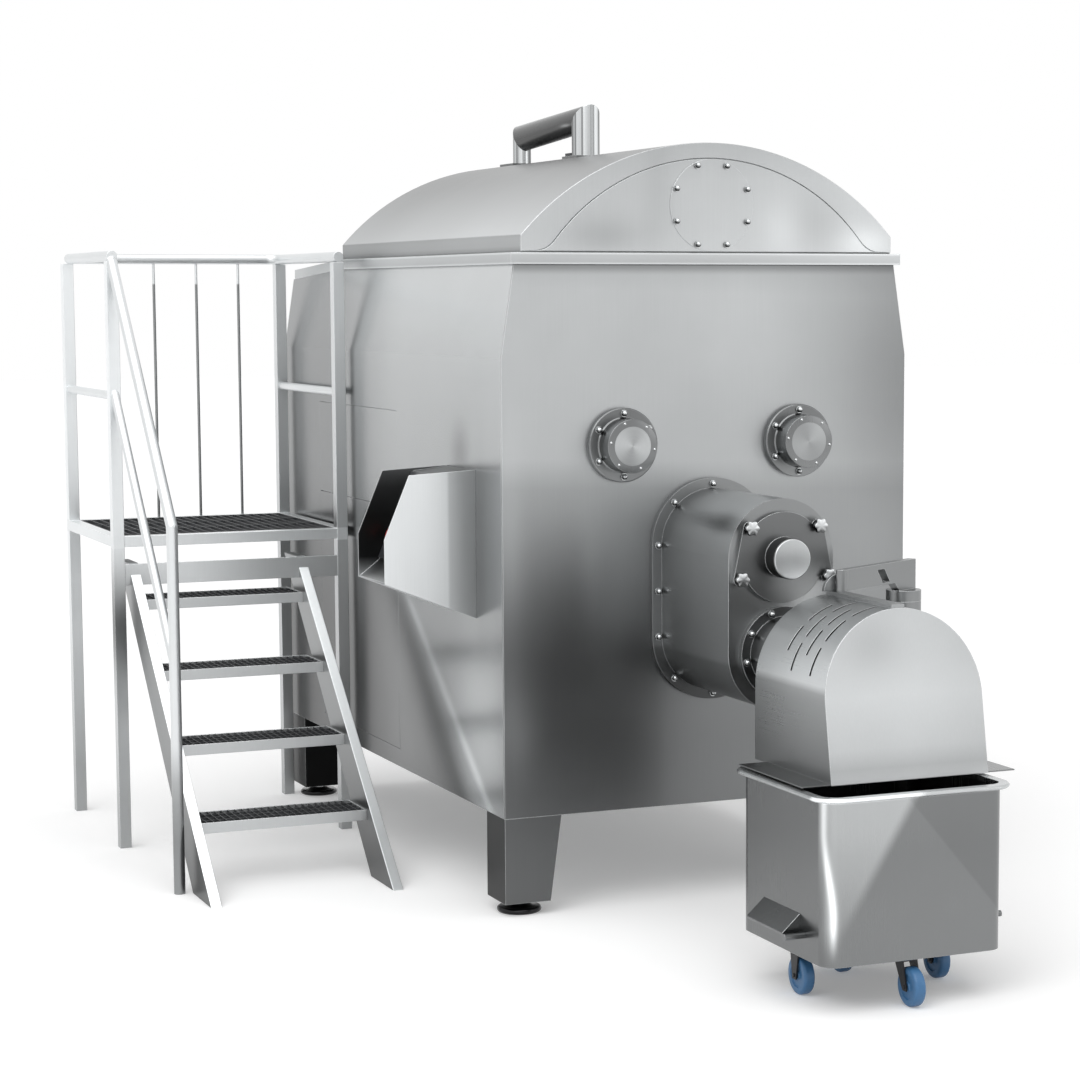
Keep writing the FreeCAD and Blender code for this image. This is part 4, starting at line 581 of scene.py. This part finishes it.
# Surfaces: each is a pair (points, four-cornered faces) with its faces outwards

def gridFaces(rows, columns, closedRows=False, closedColumns=True):
    # faces between neighbouring rows and columns of a grid of points, joined round where it closes
    r = np.arange(rows if closedRows else rows - 1)[:, None]
    c = np.arange(columns if closedColumns else columns - 1)[None, :]
    nextRow, nextColumn = (r + 1) % rows, (c + 1) % columns
    corners = [r * columns + c, r * columns + nextColumn, nextRow * columns + nextColumn,
               nextRow * columns + c]
    return np.stack([np.broadcast_to(k, (r.size, c.size)).ravel() for k in corners], axis=1)


def outward(surface):
    # turns a closed surface's faces over where its signed volume is negative
    points, faces = surface
    a, b, c, d = (points[faces[:, k]] for k in range(4))
    volume = (a * np.cross(b, c)).sum() + (a * np.cross(c, d)).sum()
    return (points, faces[:, ::-1]) if volume < 0 else surface


def turned(profile, steps=48, outline=None):
    # a profile of (radius, height, lobing) carried round Z: radius times 1 - lobing * (1 - outline(angle));
    # its first and last rows lie on the axis and close to a point
    rows = np.array([row if len(row) == 3 else (*row, 0.0) for row in profile])
    angle = np.linspace(0, 2 * np.pi, steps, endpoint=False)[None, :]
    shape = outline(angle) if outline else np.ones_like(angle)
    radius = rows[:, :1] * (1 - rows[:, 2:] * (1 - shape))
    points = np.stack([radius * np.cos(angle), radius * np.sin(angle),
                       np.broadcast_to(rows[:, 1:2], radius.shape)], axis=2).reshape(-1, 3)
    return outward((points, gridFaces(len(rows), steps)))


def hexagon(angle):
    # distance of a hexagon's edge from its centre, its corners at 1
    return math.cos(math.pi / 6) / np.cos(np.mod(angle, math.pi / 3) - math.pi / 6)


def star(angle):
    # six blunt points with shallow hollows between them
    return 0.91 + 0.09 * np.cos(6 * angle)


axisTurns = {"up": [[1, 0, 0], [0, 1, 0], [0, 0, 1]], "front": [[1, 0, 0], [0, 0, -1], [0, 1, 0]],
             "side": [[0, 0, 1], [1, 0, 0], [0, 1, 0]]}


def placed(surface, places, axis="up"):
    # the surface's height axis turned to one of axisTurns, then one copy moved to each place
    points, faces = surface
    places = np.array([tuple(p) for p in places], float)
    moved = (points @ np.array(axisTurns[axis], float).T)[None] + places[:, None]
    offsets = np.arange(len(places))[:, None, None] * len(points)
    return moved.reshape(-1, 3), (faces[None] + offsets).reshape(-1, 4)


def boxes(lows, highs):
    # closed boxes between arrays of low and high corners
    lows, highs = np.atleast_2d(lows), np.atleast_2d(highs)
    pick = np.array([[(k >> a) & 1 for a in range(3)] for k in range(8)])[None]
    points = np.where(pick == 1, highs[:, None], lows[:, None]).reshape(-1, 3)
    faces = np.array([[0, 2, 3, 1], [4, 5, 7, 6], [0, 1, 5, 4], [2, 6, 7, 3], [0, 4, 6, 2], [1, 3, 7, 5]])
    return points, (faces[None] + np.arange(len(lows))[:, None, None] * 8).reshape(-1, 4)


def piece(name, body, parts, replacing=(), smoothAngle=35, bevel=None):
    # parts: (surface, look) pairs made into one mesh that rides on a body; corners on an axis are joined
    points, faces, slots, start = [], [], [], 0
    names = list(dict.fromkeys(look for _, look in parts))
    for (partPoints, partFaces), look in parts:
        unique, index = np.unique(np.round(partPoints, 6), axis=0, return_inverse=True)
        points.append(unique)
        faces.append(index.reshape(-1)[partFaces] + start)
        slots.append(np.full(len(partFaces), names.index(look)))
        start += len(unique)
    points, faces, slots = np.concatenate(points), np.concatenate(faces), np.concatenate(slots)
    cornerLists = [list(dict.fromkeys(face)) for face in faces.tolist()]
    whole = [k for k, corners in enumerate(cornerLists) if len(corners) > 2]
    mesh = bpy.data.meshes.new(name)
    mesh.from_pydata(points.tolist(), [], [cornerLists[k] for k in whole])
    for look in names:
        mesh.materials.append(looks[look])
    mesh.polygons.foreach_set("material_index", slots[whole].astype(np.int32))
    mesh.polygons.foreach_set("use_smooth", np.ones(len(whole), dtype=bool))
    mesh.set_sharp_from_angle(angle=math.radians(smoothAngle))
    mesh.update()
    made = bpy.data.objects.new(name, mesh)
    bpy.context.scene.collection.objects.link(made)
    if bevel:
        edge = made.modifiers.new("edges", "BEVEL")
        edge.width, edge.segments, edge.limit_method = bevel, 2, "ANGLE"
        edge.harden_normals = True
    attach(made, body)
    if replacing:
        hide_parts(*replacing)
    return made


def islandBoxes(node):
    # (low, high) corners of each separate solid in a CAD node
    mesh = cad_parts[node].data
    points = np.empty(len(mesh.vertices) * 3)
    mesh.vertices.foreach_get("co", points)
    unique, index = np.unique(np.round(points.reshape(-1, 3), 5), axis=0, return_inverse=True)
    ends = np.empty(len(mesh.edges) * 2, dtype=np.int32)
    mesh.edges.foreach_get("vertices", ends)
    first, second = index.reshape(-1)[ends.reshape(-1, 2)].T
    label = np.arange(len(unique))
    while True:
        lowest = label.copy()
        np.minimum.at(lowest, first, label[second])
        np.minimum.at(lowest, second, label[first])
        if (lowest == label).all():
            break
        label = lowest
    return [(unique[label == k].min(0), unique[label == k].max(0)) for k in np.unique(label)]


def seats(node):
    # where each separate solid of a node of bolts stands on the face behind it
    return [((low[0] + high[0]) / 2, high[1], (low[2] + high[2]) / 2) for low, high in islandBoxes(node)]


# Fasteners on the front

domeBolt = {"washer": 0.0125, "washerRise": 0.003, "across": 0.0105, "rise": 0.011, "steps": 36}


def domedBolt(size=1.0):
    # washer, six-sided nut and round cap: a profile that turns from hexagon to circle
    w, t, r, h = (domeBolt[key] * size for key in ("washer", "washerRise", "across", "rise"))
    profile = [(0, -0.001), (w, -0.001), (w, t), (r, t, 1), (r, t + h * 0.55, 1), (r * 0.93, t + h * 0.7, 0.5)]
    profile += [(r * 0.84 * math.cos(a), t + h * 0.7 + r * 0.75 * math.sin(a))
                for a in np.linspace(0.15, math.pi / 2, 6)]
    profile[-1] = (0, profile[-1][1])
    return turned(profile, domeBolt["steps"], hexagon)


def makeFrontBolts():
    places = seats("front_bolts")
    piece("flange_nuts", "machine", [(placed(domedBolt(1.05), places, "front"), "bolt")],
          ["front_bolts"])
    print("front bolts:", len(places))


def makePortBolts():
    piece("port_nuts", "lid", [(placed(domedBolt(), seats("port_bolts"), "front"), "bolt")], ["port_bolts"])


starBolt = {"reach": 0.026, "neck": 0.013, "rise": 0.030, "head": 0.017, "round": 0.0035}


def makeStarBolts():
    # a shank and a six-pointed head with rounded edges and a flat face
    s = starBolt
    base, top, edge, reach = s["rise"] - s["head"], s["rise"], s["round"], s["reach"]
    profile = [(0, 0), (s["neck"], 0), (s["neck"], base), (reach - edge, base, 1), (reach, base + edge, 1),
               (reach, top - edge, 1), (reach - edge * 0.3, top - edge * 0.3, 1), (reach - edge, top, 1),
               (0, top)]
    heads = placed(turned(profile, 72, star), seats("cover_star_bolts"), "front")
    piece("star_knobs", "machine", [(heads, "knobSteel")], ["cover_star_bolts"])


bearing = {"radius": 0.132, "thickness": 0.025, "capRadius": 0.095, "capLength": 0.082, "screwCircle": 0.084,
           "screws": 6, "screw": 0.0045}


def makeBearings():
    # turned flange and cap with small screws near the cap's edge
    b = bearing
    face = b["thickness"] + b["capLength"]
    body = [(0, 0), (b["radius"] - 0.001, 0), (b["radius"], 0.001), (b["radius"], b["thickness"] - 0.003),
            (b["radius"] - 0.003, b["thickness"]), (b["capRadius"] + 0.004, b["thickness"]),
            (b["capRadius"], b["thickness"] + 0.004), (b["capRadius"], face - 0.003),
            (b["capRadius"] - 0.001, face - 0.001), (b["capRadius"] - 0.003, face - 0.0003)]
    disc = [(0, face - 0.004), (b["capRadius"] - 0.003, face - 0.0004), (0, face)]
    screw = [(0, -0.001), (b["screw"], -0.001), (b["screw"], 0.002), (b["screw"] * 0.7, 0.0034), (0, 0.0038)]
    centres = [at(side * bearingMiddle[0], 0, bearingMiddle[1]) for side in (-1, 1)]
    angles = math.radians(90) + 2 * math.pi * (np.arange(b["screws"]) + 0.35) / b["screws"]
    screws = [c + Vector((b["screwCircle"] * math.cos(a), -face, b["screwCircle"] * math.sin(a)))
              for c in centres for a in angles]
    piece("bearing_caps", "machine",
          [(placed(turned(body + [(0, face - 0.0003)], 96), centres, "front"), "flange"),
           (placed(turned(disc, 96), centres, "front"), "cap"),
           (placed(turned(screw, 16), screws, "front"), "bolt")], ["shaft_bearings"])


makeFrontBolts()
makePortBolts()
makeStarBolts()
makeBearings()


# Wheels and feet

wheelShape = {"round": 0.010, "hub": 0.040, "recess": 0.004, "boss": 0.014, "axle": 0.0062}


def makeWheels():
    # a tread with round shoulders, a shallow recess on each side and a boss round the axle
    w = wheelShape
    bodies = {"side_wheel_left": "left_side_wheel", "side_wheel_right": "right_side_wheel",
              "castor_wheel_front": "front_castor_wheel", "castor_wheel_back": "back_castor_wheel"}
    for node, body in bodies.items():
        low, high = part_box(node)
        half, radius = (high.x - low.x) / 2, (high.z - low.z) / 2
        turns = np.linspace(0, math.pi / 2, 7)
        right = [(w["axle"], half - 0.001), (w["boss"], half - 0.001), (w["boss"] + 0.002, half - w["recess"]),
                 (w["hub"] - 0.002, half - w["recess"]), (w["hub"], half)]
        right += [(radius - w["round"] * (1 - math.sin(a)), half - w["round"] * (1 - math.cos(a)))
                  for a in turns]
        profile = right + [(r, -h) for r, h in reversed(right)] + [right[0]]
        tyre = placed(turned(profile, 80), [(low + high) / 2], "side")
        piece(node + "_tread", body, [(tyre, "blue")], [node])


footShape = {"radius": 0.080, "height": 0.030, "stem": 0.016, "nut": 0.026, "top": 0.047}


def makeFeet():
    # a round puck with a rolled edge, a nut and the stem up into the leg
    f = footShape
    turns = np.linspace(-math.pi / 2, math.pi / 2, 11)
    r, h = f["radius"], f["height"] * 0.72
    puck = [(0, 0)] + [(r - h / 2 + h / 2 * math.cos(a), h / 2 + h / 2 * math.sin(a)) for a in turns]
    puck += [(r * 0.62, h), (r * 0.40, f["height"]), (f["stem"], f["height"]), (f["stem"], f["top"]),
             (0, f["top"])]
    nut = [(0, f["height"]), (f["nut"], f["height"], 1), (f["nut"], f["height"] + 0.012, 1),
           (0, f["height"] + 0.012)]
    places = [(*((low + high) / 2)[:2], 0.0) for low, high in islandBoxes("levelling_feet")]
    piece("foot_pucks", "machine", [(placed(turned(puck, 64), places), "foot"),
                                    (placed(turned(nut, 36, hexagon), places), "bolt")], ["levelling_feet"])


makeWheels()
makeFeet()


# Stair treads: light frames with dark gratings

treadShape = {"sheet": 0.006, "bar": 0.003, "bars": 23, "crossBars": 3, "barDrop": 0.028}


def makeTreads():
    # four frame bars and a grating in each tread, drawn in to stand between the box stringers
    t = treadShape
    frames, grids = [], []
    low, high = islandBoxes("stair_stringers")[0]
    inset = stringer["width"] - (high - low)[0]
    for low, high in islandBoxes("stair_treads"):
        s = t["sheet"]
        low, high = low + [inset, 0, 0], high - [inset, 0, 0]
        inner0, inner1 = low + [s, s, 0], high - [s, s, 0]
        frames += [((low[0], low[1], low[2]), (high[0], inner0[1], high[2])),
                   ((low[0], inner1[1], low[2]), (high[0], high[1], high[2])),
                   ((low[0], inner0[1], low[2]), (inner0[0], inner1[1], high[2])),
                   ((inner1[0], inner0[1], low[2]), (high[0], inner1[1], high[2]))]
        for x in np.linspace(inner0[0], inner1[0], t["bars"] + 2)[1:-1]:
            grids.append(((x - t["bar"] / 2, inner0[1], high[2] - t["barDrop"]),
                          (x + t["bar"] / 2, inner1[1], high[2] - 0.0005)))
        for y in np.linspace(inner0[1], inner1[1], t["crossBars"] + 2)[1:-1]:
            grids.append(((inner0[0], y - t["bar"] / 2, high[2] - t["barDrop"]),
                          (inner1[0], y + t["bar"] / 2, high[2] - 0.001)))
    lows, highs = np.array(frames).transpose(1, 0, 2)
    gridLows, gridHighs = np.array(grids).transpose(1, 0, 2)
    piece("tread_frames", "machine", [(boxes(lows, highs), "stair")], ["stair_treads"])
    piece("tread_grids", "machine", [(boxes(gridLows, gridHighs), "grating")], ["stair_treads"])


def makeStringers():
    # box-section stringers: a four-cornered outline in Y and Z carried across X, with soft edges
    g = stringer
    outline = np.array([(g["footFront"], 0), (g["footFront"] + g["footDepth"], 0),
                        (g["topFront"] + g["topDepth"], g["rise"]), (g["topFront"], g["rise"])])
    parts = []
    for low, high in islandBoxes("stair_stringers"):
        ends = (low[0], low[0] + g["width"]) if low[0] < stringerLow.x + g["width"] else (
            high[0], high[0] - g["width"])
        sides = [np.column_stack([np.full(4, x), faceY + outline[:, 0], outline[:, 1]]) for x in ends]
        faces = [[0, 1, 2, 3], [7, 6, 5, 4]] + [[4 + k, 4 + (k + 1) % 4, (k + 1) % 4, k] for k in range(4)]
        parts.append((outward((np.concatenate(sides), np.array(faces))), "stringer"))
    piece("stringer_tubes", "machine", parts, ["stair_stringers"], bevel=0.002)


makeTreads()
makeStringers()


# Lid: its front with the seam that sweeps out at the foot, and the handle on its crest

lidFace = {"half": 0.727, "foot": 2.347, "skirt": 2.403, "crest": 2.731, "sheet": 0.004, "seamCrest": 2.677,
           "seamRadius": 0.770, "leave": 0.60, "end": 0.692, "gap": 0.0025, "back": -0.006, "step": -0.010,
           "band": -0.016, "panel": -0.0175, "round": 0.0015}


def archHeights(x, inset=0.0):
    # height of the lid's arch over x: a circle through both springs and the crest
    f = lidFace
    rise = f["crest"] - f["skirt"]
    radius = (f["half"] ** 2 + rise ** 2) / (2 * rise)
    return f["crest"] - radius + np.sqrt((radius - inset) ** 2 - x ** 2)


def seamLine(gap, ends=12, middle=76):
    # the seam from side to side: a circle's arc that leaves it at `leave` in a cubic curve down to the foot
    f = lidFace
    radius, base = f["seamRadius"] - gap, f["seamCrest"] - f["seamRadius"]
    turn = math.asin(f["leave"] / radius)
    angle = np.linspace(-turn, turn, middle)
    arc = np.column_stack([radius * np.sin(angle), base + radius * np.cos(angle)])
    span, low = f["end"] - gap - f["leave"], f["foot"] + 0.0015
    t = np.linspace(0, 1, ends, endpoint=False)
    climb = math.tan(turn) * span
    height = low + (3 * t ** 2 - 2 * t ** 3) * (arc[0, 1] - low) + (t ** 3 - t ** 2) * climb
    left = np.column_stack([-f["end"] + gap + span * t, height])
    return np.concatenate([left, arc, left[::-1] * [-1, 1]])


def capped(points, columns):
    # a tube of closed rows with both ends closed by four-cornered faces
    rows = len(points) // columns
    faces = [gridFaces(rows, columns)]
    for k in range(1, columns - 2, 2):
        cap = np.array([0, k, k + 1, k + 2])
        faces += [cap[None, ::-1], cap[None] + (rows - 1) * columns]
    return outward((points, np.concatenate(faces)))


def rowsOf(*columns):
    # columns of (x, y, z) arrays side by side as one closed row after another
    count = max(np.size(c) for column in columns for c in column)
    wide = [[np.broadcast_to(c, count) for c in column] for column in columns]
    points = np.array(wide, float).transpose(2, 0, 1).reshape(-1, 3)
    return points + np.array(at(0, 0, 0))


def makeLidFace():
    # back sheet, raised band along the edge and raised panel inside the seam
    f = lidFace
    x = np.linspace(-f["half"] + f["sheet"], f["half"] - f["sheet"], 90)
    top = archHeights(x, f["sheet"])
    sheet = capped(rowsOf((x, f["step"], f["foot"]), (x, f["step"], top), (x, f["back"], top),
                          (x, f["back"], f["foot"])), 4)
    inner = seamLine(0.0)
    rise = np.linspace(f["foot"], f["skirt"], 12, endpoint=False)
    skirt = np.column_stack([np.full(12, -f["half"]), rise])
    across = np.linspace(-f["half"], f["half"], len(inner) - 24)
    outer = np.concatenate([skirt, np.column_stack([across, archHeights(across)]), skirt[::-1] * [-1, 1]])
    toInner = inner - outer
    toInner *= f["round"] / np.linalg.norm(toInner, axis=1)[:, None]
    (ox, oz), (ix, iz), (rx, rz) = outer.T, inner.T, toInner.T
    low = f["band"] + f["round"]
    band = capped(rowsOf((ox, f["step"], oz), (ox, low, oz), (ox + rx, f["band"], oz + rz),
                         (ix - rx, f["band"], iz - rz), (ix, low, iz), (ix, f["step"], iz)), 6)
    px, pz = seamLine(f["gap"]).T
    foot, r = f["foot"] + 0.001, f["round"]
    panel = capped(rowsOf((px, f["step"], foot), (px, f["panel"], foot),
                          (px, f["panel"], np.maximum(pz - r, foot)), (px, f["panel"] + r, pz),
                          (px, f["step"], pz), (px, f["step"], (pz + foot) / 2)), 6)
    piece("lid_face", "lid", [(part, "lidFace") for part in (sheet, band, panel)], ["lid_front"])


def makeBow():
    # posts and bar as ellipses joined by slanting cuts: at each cut the height falls as the depth grows
    b = bowShape
    angle = np.linspace(0, 2 * np.pi, 72, endpoint=False)
    c, s = np.cos(angle), np.sin(angle)
    backX, backY = b["backHalves"]
    frontRing = (b["frontRadius"] * c, b["front"] + b["frontRadius"] * s)
    backRing = (backX * c, b["back"] - backY * s)
    rings = [(*frontRing, np.full_like(c, b["foot"])), (*frontRing, b["frontHeight"] - b["barHalf"] * s),
             (*backRing, b["backHeight"] - b["barHalf"] * s), (*backRing, np.full_like(c, b["foot"]))]
    zero, steps = np.array(at(0, 0, 0)), len(angle)
    points, faces = outward((np.array(rings).transpose(0, 2, 1).reshape(-1, 3) + zero, gridFaces(4, steps)))
    tubes = [((points[k * steps:(k + 2) * steps], faces[:steps]), look)
             for k, look in enumerate(("bow", "bowBar", "bow"))]
    pads = [((-b["padReach"], y - b["padReach"], b["foot"] - 0.004),
             (b["padReach"], y + b["padReach"], b["foot"] + b["padRise"])) for y in (b["front"], b["back"])]
    lows, highs = np.array(pads).transpose(1, 0, 2) + zero
    half, y0, y1, top = b["block"]
    block = boxes(zero + [-half, y0, b["foot"]], zero + [half, y1, top])
    piece("lid_handle", "lid", tubes + [(boxes(lows, highs), "lid"), (block, "dark")], ["lid_bow"])


makeLidFace()
makeBow()
print("new pieces ready")


# Stage: white floor and world, soft lamps, and the camera at the photograph's place

stageSizes = {"floorReach": 60.0, "floorColour": (0.86, 0.86, 0.86), "floorGlow": 0.20, "ambient": 0.55}


def linked(tree, kind, settings=None, **inputs):
    # a node with its settings, its numbered inputs (a0, a1, ...) linked or set
    node = tree.nodes.new(kind)
    for key, value in (settings or {}).items():
        setattr(node, key, value)
    for key, value in inputs.items():
        socket = node.inputs[int(key[1:])]
        if isinstance(value, bpy.types.NodeSocket):
            tree.links.new(value, socket)
        else:
            socket.default_value = value
    return node.outputs[0] if node.outputs else node


def seenDirectly(tree):
    # 1 for rays from the camera, from mirrors and through glass, else 0
    path = tree.nodes.new("ShaderNodeLightPath").outputs
    first = linked(tree, "ShaderNodeMath", {"operation": "MAXIMUM"}, a0=path["Is Camera Ray"],
                   a1=path["Is Glossy Ray"])
    return linked(tree, "ShaderNodeMath", {"operation": "MAXIMUM"}, a0=first, a1=path["Is Transmission Ray"])


def makeWorld():
    world = bpy.data.worlds.new("studio")
    bpy.context.scene.world = world
    world.use_nodes = True
    tree = world.node_tree
    tree.nodes.clear()
    soft = linked(tree, "ShaderNodeBackground", a0=(1, 1, 1, 1), a1=stageSizes["ambient"])
    plain = linked(tree, "ShaderNodeBackground", a0=(1, 1, 1, 1), a1=1.0)
    mix = linked(tree, "ShaderNodeMixShader", a0=seenDirectly(tree), a1=soft, a2=plain)
    linked(tree, "ShaderNodeOutputWorld", a0=mix)


def makeFloor():
    reach = stageSizes["floorReach"]
    mesh = bpy.data.meshes.new("floor")
    mesh.from_pydata([(-reach, -reach, 0), (reach, -reach, 0), (reach, reach, 0), (-reach, reach, 0)], [],
                     [(0, 1, 2, 3)])
    floor = bpy.data.objects.new("floor", mesh)
    bpy.context.scene.collection.objects.link(floor)
    material = bpy.data.materials.new("paleFloor")
    material.use_nodes = True
    tree = material.node_tree
    tree.nodes.clear()
    matt = linked(tree, "ShaderNodeBsdfDiffuse", a0=(*stageSizes["floorColour"], 1))
    strength = linked(tree, "ShaderNodeMath", {"operation": "MULTIPLY"}, a0=seenDirectly(tree),
                      a1=stageSizes["floorGlow"])
    glow = linked(tree, "ShaderNodeEmission", a1=strength)
    linked(tree, "ShaderNodeOutputMaterial", a0=linked(tree, "ShaderNodeAddShader", a0=matt, a1=glow))
    mesh.materials.append(material)


lamps = {
    "key": {"place": (-6.0, -5.0, 6.5), "aim": (0.0, 0.5, 1.2), "size": (5.0, 4.0), "power": 120},
    "fill": {"place": (6.5, -7.0, 4.0), "aim": (0.0, 0.0, 1.2), "size": (4.0, 4.0), "power": 50},
}

daylight = {"strength": 1.5, "spread": 70.0, "from": (-0.25, -0.3, 1.0)}


def makeLamps():
    for name, lamp in lamps.items():
        data = bpy.data.lights.new(name, "AREA")
        data.shape = "RECTANGLE"
        data.size, data.size_y = lamp["size"]
        data.energy = lamp["power"]
        light = bpy.data.objects.new(name, data)
        light.location = at(*lamp["place"])
        light.rotation_euler = (at(*lamp["aim"]) - light.location).to_track_quat("-Z", "Y").to_euler()
        bpy.context.scene.collection.objects.link(light)
    data = bpy.data.lights.new("daylight", "SUN")
    data.energy, data.angle = daylight["strength"], math.radians(daylight["spread"])
    light = bpy.data.objects.new("daylight", data)
    light.rotation_euler = (-Vector(daylight["from"])).to_track_quat("-Z", "Y").to_euler()
    bpy.context.scene.collection.objects.link(light)


photoFrame = {"side": 1080.0, "focalPixels": 2636.3, "centre": (648.36, 584.59), "yaw": 23.843,
              "pitch": -6.283, "roll": -0.136, "place": (-4.0349, -8.5817, 2.1968)}


def makeCamera():
    view = photoFrame
    yaw, pitch, roll = (math.radians(view[key]) for key in ("yaw", "pitch", "roll"))
    forward = Vector((math.sin(yaw) * math.cos(pitch), math.cos(yaw) * math.cos(pitch), math.sin(pitch)))
    right = Vector((math.cos(yaw), -math.sin(yaw), 0))
    up = right.cross(forward)
    turn = Matrix((right, up, -forward)).transposed() @ Matrix.Rotation(roll, 3, "Z")
    data = bpy.data.cameras.new("camera")
    data.sensor_width = 36.0
    data.lens = view["focalPixels"] / view["side"] * data.sensor_width
    data.shift_x = 0.5 - view["centre"][0] / view["side"]
    data.shift_y = view["centre"][1] / view["side"] - 0.5
    data.clip_end = 200.0
    camera = bpy.data.objects.new("camera", data)
    camera.matrix_world = Matrix.Translation(at(*view["place"])) @ turn.to_4x4()
    bpy.context.scene.collection.objects.link(camera)
    bpy.context.scene.camera = camera


makeWorld()
makeFloor()
makeLamps()
makeCamera()
bpy.context.scene.view_settings.view_transform = "Standard"
print("stage ready")

bpy.context.view_layer.update()
